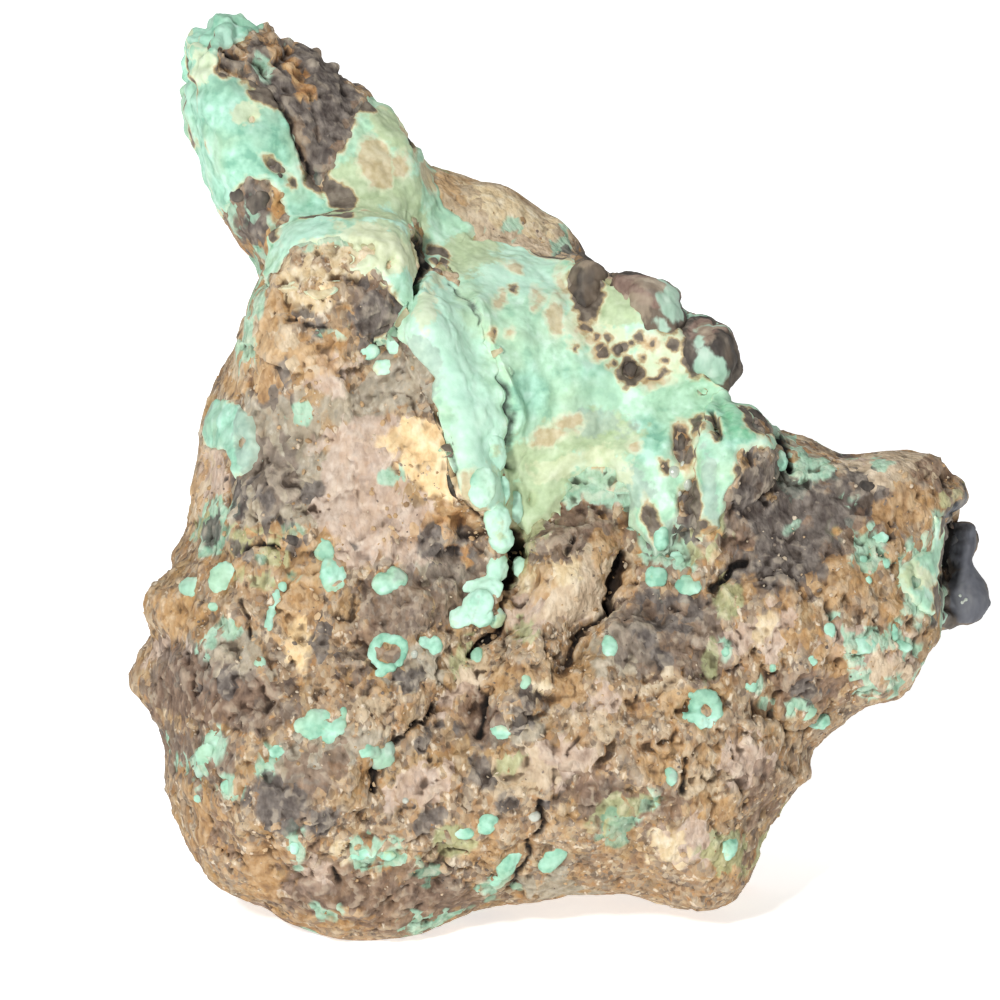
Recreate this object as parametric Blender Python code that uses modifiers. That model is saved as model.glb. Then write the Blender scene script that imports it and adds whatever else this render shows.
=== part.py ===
"""Azurite malachite hand specimen: one piece of rusty gossan rock, crusted with malachite, standing on its broken foot.

The specimen grew as one stone, so it is one solid. It is made of masses that overlap as the stone's own lumps do:
each is an outline swollen to a rounded pillow, or a plain rounded lump. The large ones are fused and eased first,
then the crusts and knobs that grew on them are fused on. The skin is hollowed and swollen on the show face, cracked,
broken flat on the back, roughened, stood up with the show face leaning back, and cut flat underneath.

Frame: metres, +Z up. The show face looks towards -Y and up, and +X is on the right of someone who faces it. The
origin is in the plane of the flat foot, under the middle of the specimen. Places on the show face are in millimetres,
across and up a 100 mm measuring square that is held flat against the leaning face, and out is the distance from the
square's plane towards the viewer.
"""

import math

import bmesh
import bpy
import numpy as np
from mathutils import Matrix, Vector, geometry, kdtree

NAME = "azurite_malachite_specimen"
MM = 0.001

# How the specimen stands, in degrees and millimetres.
FACE_LEAN = 18.0  # the show face leans back from the vertical
FOOT_UP = 5.0  # up the square, where its plane meets the ground

# How the skin is made, in millimetres.
SLAB_HALF = 4.0  # half thickness of an outline before it is swollen
PILLOW_GRAIN = 1.2
BODY_GRAIN = 1.2
SKIN_GRAIN = 0.9
SKIN_TRIANGLES = 9200
ROCK_TONE = (0.36, 0.25, 0.16, 1.0)

# Masses with an outline: the outline across and up the square, then the height of its rim, how far the mass swells
# towards the viewer and towards the back, and the width of its rounded rim.
BODY_MASSES = {
    "body": (
        [
            (25.9, 72.6), (25.0, 69.6), (24.2, 67.0), (22.6, 64.6), (21.2, 61.6), (20.2, 58.4), (20.0, 55.2),
            (18.7, 52.2), (18.9, 48.8), (18.5, 46.2), (17.2, 43.6), (15.4, 41.4), (14.3, 39.6), (15.0, 37.6),
            (16.2, 35.6), (15.6, 32.4), (15.0, 29.0), (15.7, 26.6), (16.0, 23.6), (16.2, 21.0), (17.5, 19.4),
            (17.8, 16.4), (19.2, 13.6), (22.4, 10.9), (26.4, 8.8), (30.4, 6.9), (34.4, 5.8), (38.6, 5.6),
            (42.2, 6.6), (45.4, 8.1), (48.6, 9.2), (53.0, 9.8), (56.4, 10.6), (60.4, 10.3), (63.2, 10.6),
            (67.0, 9.3), (70.6, 9.0), (73.6, 9.9), (75.5, 12.4), (76.1, 15.0), (77.8, 18.0), (79.4, 20.8),
            (81.0, 22.8), (81.0, 24.8), (82.7, 26.6), (84.2, 28.1), (88.8, 29.6), (91.6, 31.6), (92.8, 34.0),
            (94.2, 36.8), (94.6, 40.0), (94.6, 44.0), (95.2, 47.4), (95.8, 50.2), (94.9, 52.8), (92.2, 54.6),
            (88.6, 55.1), (85.0, 54.3), (81.6, 55.4), (78.4, 56.6), (75.8, 58.6), (72.6, 60.6), (66.0, 68.0),
            (58.0, 73.0), (44.0, 76.0), (32.0, 76.0),
        ],
        -4, 13, 17, 15,
    ),
    "heel": (
        [
            (25.0, 16.0), (27.4, 10.6), (31.0, 7.6), (36.0, 6.6), (44.0, 8.2), (54.0, 10.4), (64.0, 10.5),
            (71.0, 9.6), (75.0, 12.4), (77.0, 18.0), (75.0, 28.0), (60.0, 38.0), (38.0, 38.0), (26.0, 28.0),
        ],
        -17, 10, 11, 3,
    ),
    "back_boulder": (
        [
            (28.0, 66.0), (23.0, 54.0), (21.0, 42.0), (23.0, 26.0), (34.0, 16.0), (60.0, 18.0), (76.0, 26.0),
            (86.0, 38.0), (84.0, 48.0), (74.0, 54.0), (62.0, 64.0), (44.0, 70.0),
        ],
        -14, 8, 15, 12,
    ),
    "horn": (
        [
            (18.0, 96.6), (20.4, 97.7), (21.8, 100.0), (24.4, 98.8), (26.6, 98.2), (28.6, 96.8), (29.8, 95.7),
            (31.2, 96.2), (32.8, 95.2), (33.9, 93.6), (36.0, 91.6), (39.3, 89.4), (41.2, 87.0), (42.3, 84.4),
            (43.6, 78.0), (44.0, 70.0), (34.0, 64.0), (26.6, 68.0), (25.7, 72.0), (23.8, 75.2), (21.5, 79.6),
            (19.7, 84.2), (17.9, 89.2), (17.8, 92.0), (18.2, 94.4),
        ],
        -7, 9, 10, 8,
    ),
    "rear_slab": (
        [
            (41.6, 83.3), (44.1, 83.0), (46.9, 82.2), (49.6, 81.5), (51.7, 80.5), (54.0, 78.8), (56.8, 77.0),
            (58.6, 75.0), (60.0, 73.0), (58.0, 66.0), (48.0, 64.0), (41.0, 72.0),
        ],
        -12, 8, 9, 6,
    ),
    "shoulder": (
        [
            (26.4, 73.4), (29.8, 77.0), (34.5, 78.4), (39.4, 77.7), (42.2, 74.4), (44.8, 70.4), (46.6, 67.0),
            (47.8, 63.4), (49.4, 59.4), (50.4, 55.0), (50.6, 52.0), (51.4, 48.6), (50.8, 44.4), (50.4, 40.0),
            (49.2, 36.6), (48.4, 32.4), (47.6, 27.0), (45.0, 21.0), (39.0, 15.0), (31.0, 12.0), (24.0, 13.0),
            (19.0, 19.0), (17.0, 29.0), (17.8, 38.0), (20.0, 46.0), (21.2, 54.0), (23.0, 62.0), (25.4, 68.0),
        ],
        0, 12, 8, 9,
    ),
}
GROWN_MASSES = {
    "horn_blade": (
        [
            (18.2, 96.4), (20.6, 97.2), (21.9, 99.4), (23.8, 97.8), (24.6, 94.2), (26.2, 91.2), (28.8, 89.0),
            (29.9, 86.0), (30.8, 82.0), (32.4, 78.0), (29.0, 73.0), (25.6, 73.4), (21.8, 79.5), (20.0, 84.3),
            (18.2, 89.3), (18.1, 92.2),
        ],
        -5, 9, 5, 4,
    ),
    "collar": (
        [
            (25.9, 73.2), (28.6, 76.8), (33.0, 78.8), (37.2, 79.2), (40.8, 78.0), (42.7, 75.2), (42.8, 72.2),
            (41.5, 69.8), (40.7, 67.2), (39.8, 63.8), (38.0, 56.0), (29.0, 54.0), (24.0, 62.0),
        ],
        4, 9.5, 8, 7,
    ),
    "curtain": (
        [
            (41.2, 70.6), (42.7, 72.3), (44.8, 71.2), (46.7, 68.8), (47.8, 65.2), (49.3, 61.2), (50.4, 57.2),
            (51.0, 54.4), (50.8, 52.0), (51.6, 49.8), (51.6, 46.0), (50.6, 43.4), (50.8, 40.2), (50.3, 37.4),
            (47.4, 36.5), (46.5, 38.6), (48.1, 42.0), (48.4, 46.0), (47.5, 48.4), (45.8, 51.0), (44.8, 54.4),
            (44.1, 58.0), (42.6, 61.2), (41.0, 64.2), (40.5, 67.6),
        ],
        6, 8, 6, 3,
    ),
    "brown_boss": (
        [
            (51.8, 49.4), (55.0, 49.4), (58.8, 49.6), (62.2, 48.2), (63.0, 45.4), (61.8, 42.4), (60.4, 39.6),
            (58.2, 36.6), (57.4, 31.0), (54.0, 26.0), (48.0, 26.0), (47.4, 34.0), (50.8, 39.0), (51.6, 45.0),
        ],
        2, 9.5, 8, 5,
    ),
    "ridge": (
        [
            (57.6, 75.0), (60.4, 72.4), (63.8, 72.2), (68.0, 68.6), (71.6, 66.6), (73.8, 63.2), (72.2, 60.8),
            (68.0, 60.2), (62.0, 62.0), (57.5, 66.0), (56.0, 71.0),
        ],
        -3, 9, 9, 5,
    ),
    "arm_step": (
        [
            (71.6, 60.6), (75.4, 59.1), (78.2, 56.8), (78.8, 53.0), (77.2, 49.6), (75.2, 46.6), (73.6, 42.4),
            (70.4, 40.8), (66.6, 41.4), (64.8, 44.8), (66.4, 50.0), (67.6, 56.0),
        ],
        0, 9.5, 8, 5,
    ),
    "rear_knob": (
        [
            (93.0, 49.4), (96.2, 49.4), (98.0, 46.8), (97.4, 43.8), (98.5, 41.4), (98.7, 39.6), (97.1, 37.6),
            (93.8, 36.8), (89.6, 40.0), (89.4, 47.0),
        ],
        -11, 6, 7, 4,
    ),
}

# Plain lumps: the centre across, up and out, then the half sizes in the same order and the turn on the face.
LUMPS = {
    "ridge_nodule_small": ((59.2, 71.8, 1.5), (1.7, 2.4, 3.0), 0),
    "ridge_nodule_wide": ((64.7, 69.7, 0.0), (3.9, 2.7, 5.0), -28),
    "ridge_nodule_end": ((71.4, 64.7, 0.5), (2.9, 3.5, 5.0), 20),
    "left_lobe_upper": ((17.9, 39.5, -1.0), (3.6, 4.0, 5.5), 0),
    "left_lobe_lower": ((16.6, 32.6, -6.0), (3.8, 3.9, 5.0), 10),
    "arm_bead": ((95.2, 50.9, -6.0), (1.8, 2.2, 4.0), 0),
    "arm_brow": ((91.6, 51.6, -4.0), (4.2, 3.4, 6.0), 0),
    "back_knuckle_low": ((42.0, 26.0, -26.0), (13.0, 9.0, 5.0), 20),
    "back_knuckle_high": ((36.0, 62.0, -20.0), (10.0, 10.0, 7.0), -15),
    "back_knuckle_side": ((68.0, 42.0, -25.0), (9.0, 11.0, 5.0), 30),
    "horn_spine": ((29.0, 84.0, -16.0), (4.0, 10.0, 5.0), 28),
    "horn_root": ((37.0, 74.0, -12.0), (7.0, 9.0, 7.0), 0),
}

# Swells and hollows of the show face: the place, the two half widths and the height towards the viewer.
SWELLS = (
    (59.0, 57.0, 7.0, 11.0, -3.8),  # basin under the ridge
    (53.5, 51.5, 2.6, 4.0, -1.6),  # deep end of the basin, beside the curtain
    (54.0, 73.0, 6.0, 4.0, -2.0),  # head of the basin, below the slab
    (51.5, 67.0, 3.5, 5.0, 1.6),  # bank of the basin, beside the curtain
    (56.5, 61.0, 3.5, 4.0, 1.4),  # bubble in the basin
    (63.0, 54.0, 4.0, 3.0, 1.2),  # bubble in the basin
    (46.0, 22.0, 24.0, 13.0, 3.0),  # belly of the lower slope
    (62.0, 30.0, 8.0, 8.0, 1.6),  # the belly's right flank
    (29.0, 57.0, 4.0, 6.0, -1.2),  # grey pocket on the shoulder
    (39.5, 54.0, 6.0, 7.0, 1.4),  # smooth pink boss on the shoulder
    (80.0, 47.5, 8.0, 4.0, -2.2),  # purple hollow at the root of the arm
    (96.0, 44.0, 11.0, 14.0, -4.5),  # the arm falls back to its end
    (37.0, 88.0, 3.0, 5.0, -1.2),  # dark flank of the horn
    (38.0, 80.0, 4.0, 4.0, 1.4),  # root of the horn
    (47.0, 30.0, 3.0, 5.0, -0.9),  # gully below the shoulder
)

# Cracks in the show face: the half width and the depth, then the line that it follows.
CRACKS = {
    "behind_collar": (1.0, 3.4, [(41.6, 76.4), (42.8, 73.2), (41.9, 71.6), (40.5, 69.2), (40.0, 66.4), (38.6, 65.4)]),
    "under_curtain": (1.1, 3.0, [(50.8, 54.0), (50.6, 50.6), (52.0, 46.6), (51.2, 42.8), (49.8, 38.8), (47.4, 35.4)]),
    "beside_boss": (1.1, 2.6, [(62.6, 44.8), (61.4, 42.0), (60.7, 39.5), (59.0, 37.7), (57.7, 36.3), (56.6, 34.0)]),
    "under_shoulder": (1.0, 2.6, [(43.6, 29.4), (40.7, 27.0), (39.5, 25.7), (37.6, 21.5)]),
    "arm_root": (1.0, 2.6, [(78.2, 56.2), (78.9, 52.8)]),
    "under_arm_step": (1.0, 2.4, [(73.6, 43.2), (71.0, 40.9)]),
}

# Flat breaks: a point on each, across, up and out, and the way that it faces.
BREAKS = {
    "back": ((50.0, 40.0, -27.0), (0.05, 0.16, -1.0)),
    "back_right": ((72.0, 40.0, -22.5), (0.34, -0.06, -1.0)),
    "back_left": ((27.0, 46.0, -22.0), (-0.60, 0.02, -1.0)),
    "back_low": ((56.0, 15.0, -26.5), (0.12, -0.34, -1.0)),
    "behind_horn": ((30.0, 84.0, -17.0), (-0.30, 0.22, -1.0)),
    "behind_slab": ((56.0, 72.0, -17.5), (0.30, 0.42, -1.0)),
}

# Roughness: the size of the noise and how far it moves the skin, in millimetres.
ROUGHNESS = ((9.0, 1.4), (3.6, 0.9))


def on_square(across, up, out=0.0):
    """A place given on the measuring square, in metres, while the face still lies flat."""
    return Vector((across, up - FOOT_UP, out)) * MM


def clear_scene():
    for obj in list(bpy.data.objects):
        bpy.data.objects.remove(obj)


def shown(name, data):
    obj = bpy.data.objects.new(name, data)
    bpy.context.scene.collection.objects.link(obj)
    return obj


def evaluated_mesh(obj):
    """A new mesh with the object's modifiers applied."""
    graph = bpy.context.evaluated_depsgraph_get()
    return bpy.data.meshes.new_from_object(obj.evaluated_get(graph))


def bake(obj):
    """Replaces the object's mesh by its evaluated one and drops the modifiers."""
    baked = evaluated_mesh(obj)
    obj.modifiers.clear()
    obj.data = baked


def remesh(obj, grain):
    skin = obj.modifiers.new("skin", "REMESH")
    skin.mode = "VOXEL"
    skin.voxel_size = grain * MM


def ease(obj, passes):
    smooth = obj.modifiers.new("ease", "SMOOTH")
    smooth.factor = 0.5
    smooth.iterations = passes


def places_of(mesh):
    flat = np.empty(len(mesh.vertices) * 3, np.float32)
    mesh.vertices.foreach_get("co", flat)
    return flat.reshape(-1, 3)


def facing_viewer(mesh):
    """How squarely each vertex faces the viewer, from 0 on the rim and the back to 1."""
    flat = np.empty(len(mesh.vertices) * 3, np.float32)
    mesh.vertices.foreach_get("normal", flat)
    return np.clip(flat.reshape(-1, 3)[:, 2], 0.0, 1.0)


def outline_slab(name, outline):
    """A flat slab whose edge is a smooth closed curve through the outline."""
    curve = bpy.data.curves.new(name, "CURVE")
    curve.dimensions = "2D"
    curve.fill_mode = "BOTH"
    curve.extrude = SLAB_HALF * MM
    curve.resolution_u = 10
    spline = curve.splines.new("BEZIER")
    spline.bezier_points.add(len(outline) - 1)
    for knot, (across, up) in zip(spline.bezier_points, outline):
        knot.co = on_square(across, up)
        knot.handle_left_type = "AUTO"
        knot.handle_right_type = "AUTO"
    spline.use_cyclic_u = True
    drawn = shown(name + "_outline", curve)
    slab = shown(name, evaluated_mesh(drawn))
    bpy.data.objects.remove(drawn)
    return slab


def pillow(name, outline, rim_height, front, back, rim_width):
    """The outline's slab, swollen so that it rounds over from its rim towards the viewer and the back."""
    slab = outline_slab(name, outline)
    edge = places_of(slab.data)
    near_edge = kdtree.KDTree(len(edge))
    for index, place in enumerate(edge):
        near_edge.insert((place[0], place[1], 0.0), index)
    near_edge.balance()
    remesh(slab, PILLOW_GRAIN)
    bake(slab)
    places = places_of(slab.data)
    inside = np.array([near_edge.find((x, y, 0.0))[2] for x, y, _ in places])
    share = 1.0 - np.clip(inside / (rim_width * MM), 0.0, 1.0)
    dome = np.sqrt(1.0 - share**2)
    reach = np.where(places[:, 2] > 0.0, front, back)
    places[:, 2] = (rim_height + reach * dome * places[:, 2] / (SLAB_HALF * MM)) * MM
    slab.data.vertices.foreach_set("co", places.ravel())
    return slab


def lump(name, centre, half_sizes, turn):
    bpy.ops.mesh.primitive_ico_sphere_add(subdivisions=4, radius=MM, location=on_square(*centre))
    ball = bpy.context.object
    ball.name = name
    ball.scale = half_sizes
    ball.rotation_euler.z = math.radians(turn)
    bpy.context.view_layer.update()
    ball.data.transform(ball.matrix_world)
    ball.matrix_world = Matrix.Identity(4)
    return ball


def fused(name, pieces, grain, passes):
    """One skin over all the pieces, with the creases between them eased. The pieces are removed."""
    together = bmesh.new()
    for piece in pieces:
        together.from_mesh(piece.data)
        bpy.data.objects.remove(piece)
    mesh = bpy.data.meshes.new(name)
    together.to_mesh(mesh)
    together.free()
    whole = shown(name, mesh)
    remesh(whole, grain)
    ease(whole, passes)
    bake(whole)
    return whole


def swell_face(rock):
    """Raises and hollows the show face. The back and the rim stay where they are."""
    places = places_of(rock.data)
    facing = facing_viewer(rock.data)
    across = places[:, 0] / MM
    up = places[:, 1] / MM + FOOT_UP
    for middle_across, middle_up, half_across, half_up, height in SWELLS:
        far = ((across - middle_across) / half_across) ** 2 + ((up - middle_up) / half_up) ** 2
        places[:, 2] += height * MM * np.exp(-far) * facing
    rock.data.vertices.foreach_set("co", places.ravel())


def distance_to_line(place, line):
    """How far a place on the flat face is from a line of straight pieces."""
    nearest = math.inf
    for start, end in zip(line, line[1:]):
        foot, share = geometry.intersect_point_line(place, start, end)
        foot = start.lerp(end, min(max(share, 0.0), 1.0))
        nearest = min(nearest, (foot - place).length)
    return nearest


def crack_face(rock):
    """Presses the cracks into the show face."""
    places = places_of(rock.data)
    facing = facing_viewer(rock.data)
    flat = [Vector((x, y, 0.0)) for x, y, _ in places]
    for half_width, depth, knots in CRACKS.values():
        line = [on_square(across, up) for across, up in knots]
        away = np.array([distance_to_line(place, line) for place in flat])
        places[:, 2] -= depth * MM * np.exp(-((away / (half_width * MM)) ** 2)) * facing
    rock.data.vertices.foreach_set("co", places.ravel())


def cut_flat(mesh, point, facing):
    """Cuts off what lies beyond the plane and closes the cut with one flat face."""
    solid = bmesh.new()
    solid.from_mesh(mesh)
    geometry_in = solid.verts[:] + solid.edges[:] + solid.faces[:]
    cut = bmesh.ops.bisect_plane(
        solid, geom=geometry_in, dist=1e-6, plane_co=point, plane_no=facing, clear_outer=True
    )
    rim = [item for item in cut["geom_cut"] if isinstance(item, bmesh.types.BMEdge)]
    bmesh.ops.holes_fill(solid, edges=rim)
    bmesh.ops.triangulate(solid, faces=[face for face in solid.faces if len(face.verts) > 4])
    solid.to_mesh(mesh)
    solid.free()


def break_back(rock):
    """Breaks the back to rough flat faces, as a piece split from its vein has."""
    for point, facing in BREAKS.values():
        cut_flat(rock.data, on_square(*point), Vector(facing).normalized())


def roughen(rock):
    """A fresh skin over the breaks, moved in and out by two sizes of noise."""
    remesh(rock, SKIN_GRAIN)
    ease(rock, 2)
    for size, depth in ROUGHNESS:
        noise = bpy.data.textures.new(f"rock_noise_{size}", "CLOUDS")
        noise.noise_scale = size * MM
        noise.noise_depth = 2
        move = rock.modifiers.new(f"roughness_{size}", "DISPLACE")
        move.texture = noise
        move.texture_coords = "LOCAL"
        move.strength = depth * MM
        move.mid_level = 0.5
    bake(rock)


def thin_out(rock):
    """Fewer, larger triangles, where the shape allows them."""
    count = sum(len(face.vertices) - 2 for face in rock.data.polygons)
    thin = rock.modifiers.new("thin", "DECIMATE")
    thin.ratio = SKIN_TRIANGLES / count
    bake(rock)


def stand_up(rock):
    """Tilts the face up until it leans back as it should, and cuts the foot flat at Z = 0."""
    rock.data.transform(Matrix.Rotation(math.radians(90.0 - FACE_LEAN), 4, "X"))
    cut_flat(rock.data, Vector((0.0, 0.0, 0.0)), Vector((0.0, 0.0, -1.0)))


def centre(rock):
    """Moves the middle of the specimen over the origin."""
    places = places_of(rock.data)
    middle = (places.min(axis=0) + places.max(axis=0)) / 2.0
    rock.data.transform(Matrix.Translation((-middle[0], -middle[1], 0.0)))


def rock_material():
    stone = bpy.data.materials.new("gossan_rock")
    stone.use_nodes = True
    shader = stone.node_tree.nodes["Principled BSDF"]
    shader.inputs["Base Color"].default_value = ROCK_TONE
    shader.inputs["Roughness"].default_value = 0.85
    shader.inputs["Metallic"].default_value = 0.0
    return stone


def build_specimen():
    clear_scene()
    body = fused("body_rock", [pillow(name, *mass) for name, mass in BODY_MASSES.items()], BODY_GRAIN, 10)
    grown = [pillow(name, *mass) for name, mass in GROWN_MASSES.items()]
    grown += [lump(name, *sizes) for name, sizes in LUMPS.items()]
    rock = fused(NAME, [body, *grown], SKIN_GRAIN, 3)
    swell_face(rock)
    crack_face(rock)
    break_back(rock)
    roughen(rock)
    thin_out(rock)
    stand_up(rock)
    centre(rock)
    rock.data.materials.clear()
    rock.data.materials.append(rock_material())
    rock.data.shade_smooth()
    specimen = bpy.data.collections.new(NAME)
    bpy.context.scene.collection.children.link(specimen)
    specimen.objects.link(rock)
    bpy.context.scene.collection.objects.unlink(rock)


build_specimen()
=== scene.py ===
import itertools
import math

import bmesh
import bpy
import numpy as np
from mathutils import Matrix, Vector, bvhtree


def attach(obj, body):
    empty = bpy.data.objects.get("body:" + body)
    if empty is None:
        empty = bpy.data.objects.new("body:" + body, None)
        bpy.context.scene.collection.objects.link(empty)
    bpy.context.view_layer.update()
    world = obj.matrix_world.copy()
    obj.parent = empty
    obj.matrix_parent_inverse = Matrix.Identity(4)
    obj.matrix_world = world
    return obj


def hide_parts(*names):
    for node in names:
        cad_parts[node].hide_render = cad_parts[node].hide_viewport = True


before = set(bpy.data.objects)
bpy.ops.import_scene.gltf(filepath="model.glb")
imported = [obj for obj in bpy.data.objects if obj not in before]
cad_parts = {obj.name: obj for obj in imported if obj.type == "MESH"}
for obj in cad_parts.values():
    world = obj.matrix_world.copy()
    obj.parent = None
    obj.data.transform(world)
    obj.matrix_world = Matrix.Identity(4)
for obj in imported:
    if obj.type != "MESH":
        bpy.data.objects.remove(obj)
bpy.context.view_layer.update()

# ------------------------------------------------------------------------------------------------------------
# The gossan rock: the whole stone that everything else grew on. It is iron-stained quartz and clay, broken
# from its vein. The solid's own skin is made finer, then given broken facets, ledges, knobs and cracks.

# Every piece is worked lying on its back, in millimetres: across and up a 100 mm measuring square held on the
# show face, and out towards the viewer. standing turns that into the room's metres.
MM = 0.001
# The face's lean in degrees, the foot's place up the square, and the stone's middle across and behind it.
FACE_LEAN = 18.0
FOOT_UP = 5.0
MIDDLE_ACROSS = 55.78
MIDDLE_BACK = 16.67

standing = (
    Matrix.Scale(MM, 4)
    @ Matrix.Translation((-MIDDLE_ACROSS, -MIDDLE_BACK, 0.0))
    @ Matrix.Rotation(math.radians(90.0 - FACE_LEAN), 4, "X")
    @ Matrix.Translation((0.0, -FOOT_UP, 0.0))
)
lying = standing.inverted()


def linear(hex_tone):
    """An sRGB hex colour as the linear one that a shader takes."""
    parts = [int(hex_tone[i : i + 2], 16) / 255 for i in (1, 3, 5)]
    return [c / 12.92 if c <= 0.04045 else ((c + 0.055) / 1.055) ** 2.4 for c in parts] + [1.0]


def shown(name, mesh):
    obj = bpy.data.objects.new(name, mesh)
    bpy.context.scene.collection.objects.link(obj)
    return obj


def bake(obj):
    """Gives the object its evaluated mesh and takes the modifiers off."""
    graph = bpy.context.evaluated_depsgraph_get()
    baked = bpy.data.meshes.new_from_object(obj.evaluated_get(graph))
    obj.modifiers.clear()
    obj.data = baked
    return baked


def modify(obj, kind, **settings):
    modifier = obj.modifiers.new(kind.lower(), kind)
    for name, value in settings.items():
        setattr(modifier, name, value)
    return modifier


def read(mesh, field="co"):
    flat = np.empty(len(mesh.vertices) * 3, np.float32)
    mesh.vertices.foreach_get(field, flat)
    return flat.reshape(-1, 3).astype(float)


def write(mesh, places):
    mesh.vertices.foreach_set("co", places.astype(np.float32).ravel())
    mesh.update()


def smoothstep(low, high, value):
    share = np.clip((value - low) / (high - low), 0.0, 1.0)
    return share * share * (3.0 - 2.0 * share)


# The noises' random values lie on a cube of cells, which repeats after this many.
LATTICE = 40
NEIGHBOURS = list(itertools.product((-1, 0, 1), repeat=3))


def ripple(places, wave, seed):
    """Smooth noise from -1 to 1, with waves of about that many millimetres."""
    values = np.random.default_rng(seed).uniform(-1.0, 1.0, (LATTICE, LATTICE, LATTICE))
    grid = places / (wave / 2.0)
    low = np.floor(grid).astype(int)
    share = grid - low
    share = share * share * (3.0 - 2.0 * share)
    total = np.zeros(len(places))
    for corner in itertools.product((0, 1), repeat=3):
        weight = np.where(corner, share, 1.0 - share).prod(axis=1)
        cell = (low + corner) % LATTICE
        total += weight * values[cell[:, 0], cell[:, 1], cell[:, 2]]
    return total


KNOB_REACH = 0.72
FAR = 9.0


def knobs(places, size, seed):
    """Rounded knobs packed side by side, size millimetres apart: 1 on a knob's top and 0 in the joints."""
    jitter = np.random.default_rng(seed).uniform(0.1, 0.9, (LATTICE, LATTICE, LATTICE, 3))
    grid = places / size
    low = np.floor(grid).astype(int)
    nearest = np.full(len(places), FAR)
    for offset in NEIGHBOURS:
        cell = low + offset
        inside = cell % LATTICE
        middle = cell + jitter[inside[:, 0], inside[:, 1], inside[:, 2]]
        nearest = np.minimum(nearest, ((grid - middle) ** 2).sum(axis=1))
    return np.sqrt(np.clip(1.0 - nearest / KNOB_REACH, 0.0, 1.0))


def facets(places, size, seed, tilt=0.9):
    """The heights of broken faces, size millimetres across, and how far each place is from their joints."""
    rng = np.random.default_rng(seed)
    jitter = rng.uniform(0.0, 1.0, (LATTICE, LATTICE, LATTICE, 3))
    heights = rng.uniform(-1.0, 1.0, (LATTICE, LATTICE, LATTICE))
    tilts = rng.uniform(-tilt, tilt, (LATTICE, LATTICE, LATTICE, 3))
    grid = places / size
    low = np.floor(grid).astype(int)
    nearest = np.full(len(places), FAR)
    second = np.full(len(places), FAR)
    level = np.zeros(len(places))
    for offset in NEIGHBOURS:
        cell = low + offset
        index = tuple((cell % LATTICE).T)
        away = grid - cell - jitter[index]
        distance = (away**2).sum(axis=1)
        closer = distance < nearest
        second = np.where(closer, nearest, np.minimum(second, distance))
        nearest = np.where(closer, distance, nearest)
        level = np.where(closer, heights[index] + (away * tilts[index]).sum(axis=1), level)
    joint = (np.sqrt(second) - np.sqrt(nearest)) * size * 0.5
    return level, joint


def wavered(places, waver, seed):
    """The places across and up the face, shifted so that a rim drawn on them wavers."""
    across = places[:, 0] + waver * (ripple(places, 3.2, seed) + 0.5 * ripple(places, 1.3, seed + 1))
    up = places[:, 1] + waver * (ripple(places, 3.2, seed + 2) + 0.5 * ripple(places, 1.3, seed + 3))
    return across, up


# The depth, in millimetres, of a place that is far outside every patch.
OUTSIDE = -4.0


def patch_depth(places, patches, waver=0.5, seed=5):
    """How many millimetres inside the nearest patch's rim each place is. Outside, it is negative.

    A patch is an oval on the show face: across, up, half its width, half its height and its turn in degrees.
    """
    across, up = wavered(places, waver, seed)
    depth = np.full(len(places), OUTSIDE)
    for middle_across, middle_up, half_width, half_height, turn in patches:
        c, s = math.cos(math.radians(turn)), math.sin(math.radians(turn))
        x, y = across - middle_across, up - middle_up
        reach = np.hypot((c * x + s * y) / half_width, (c * y - s * x) / half_height)
        depth = np.maximum(depth, (1.0 - reach) * min(half_width, half_height))
    return depth


def line_distance(across, up, line):
    """How far each place is from a line of straight pieces drawn on the show face."""
    nearest = np.full(len(across), np.inf)
    for (x0, y0), (x1, y1) in zip(line, line[1:]):
        x, y = across - x0, up - y0
        run, rise = x1 - x0, y1 - y0
        share = np.clip((x * run + y * rise) / (run * run + rise * rise), 0.0, 1.0)
        nearest = np.minimum(nearest, np.hypot(x - share * run, y - share * rise))
    return nearest


def outline_depth(places, outline, bare, seed, waver=0.35):
    """How many millimetres inside a closed outline each place is, with bare ovals left out of it."""
    across, up = wavered(places, waver, seed)
    inside = np.zeros(len(places), bool)
    for (x0, y0), (x1, y1) in zip(outline, outline[1:] + outline[:1]):
        spans = (y0 > up) != (y1 > up)
        inside ^= spans & (across < x0 + (up - y0) * (x1 - x0) / (y1 - y0 if y1 != y0 else 1.0))
    depth = line_distance(across, up, outline + outline[:1]) * np.where(inside, 1.0, -1.0)
    return np.minimum(depth, -patch_depth(places, bare, waver, seed)) if bare else depth


def soft_waves(places):
    """The slow swells of the whole stone, which the crusts on it follow too.

    Here and in the reliefs below, each term is a height, a wave's length or a face's width, and a seed.
    """
    return 0.34 * ripple(places, 6.0, 11) + 0.26 * ripple(places, 2.8, 12)


def broken_relief(places):
    """The bare rock's own surface: flat broken faces, large to small, and a few rounded knobs."""
    bent = places + 0.7 * np.stack([ripple(places, 2.6, seed) for seed in (21, 22, 23)], axis=1)
    big_faces, big_joint = facets(bent, 4.6, 24)
    lift = 0.32 * big_faces + 0.24 * facets(bent, 2.1, 25)[0] + 0.09 * facets(places, 1.15, 27)[0]
    lift += 0.12 * ripple(places, 1.3, 13) + 0.08 * knobs(places, 1.5, 16) - 0.08
    return lift - 0.40 * np.exp(-((big_joint / 0.22) ** 2)) * smoothstep(0.1, 0.8, ripple(places, 9.0, 26))


# The horn's crest is jagged from this height up, and the banks lie no farther back than their own limit.
# Crusts sit lower where the stone turns away from the viewer, so that they don't swell its outline.
CREST_FOOT, CREST_TOP = 86.0, 95.0
BANKS_BACK = -10.0
SIDE_SLACK = 0.7


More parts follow.
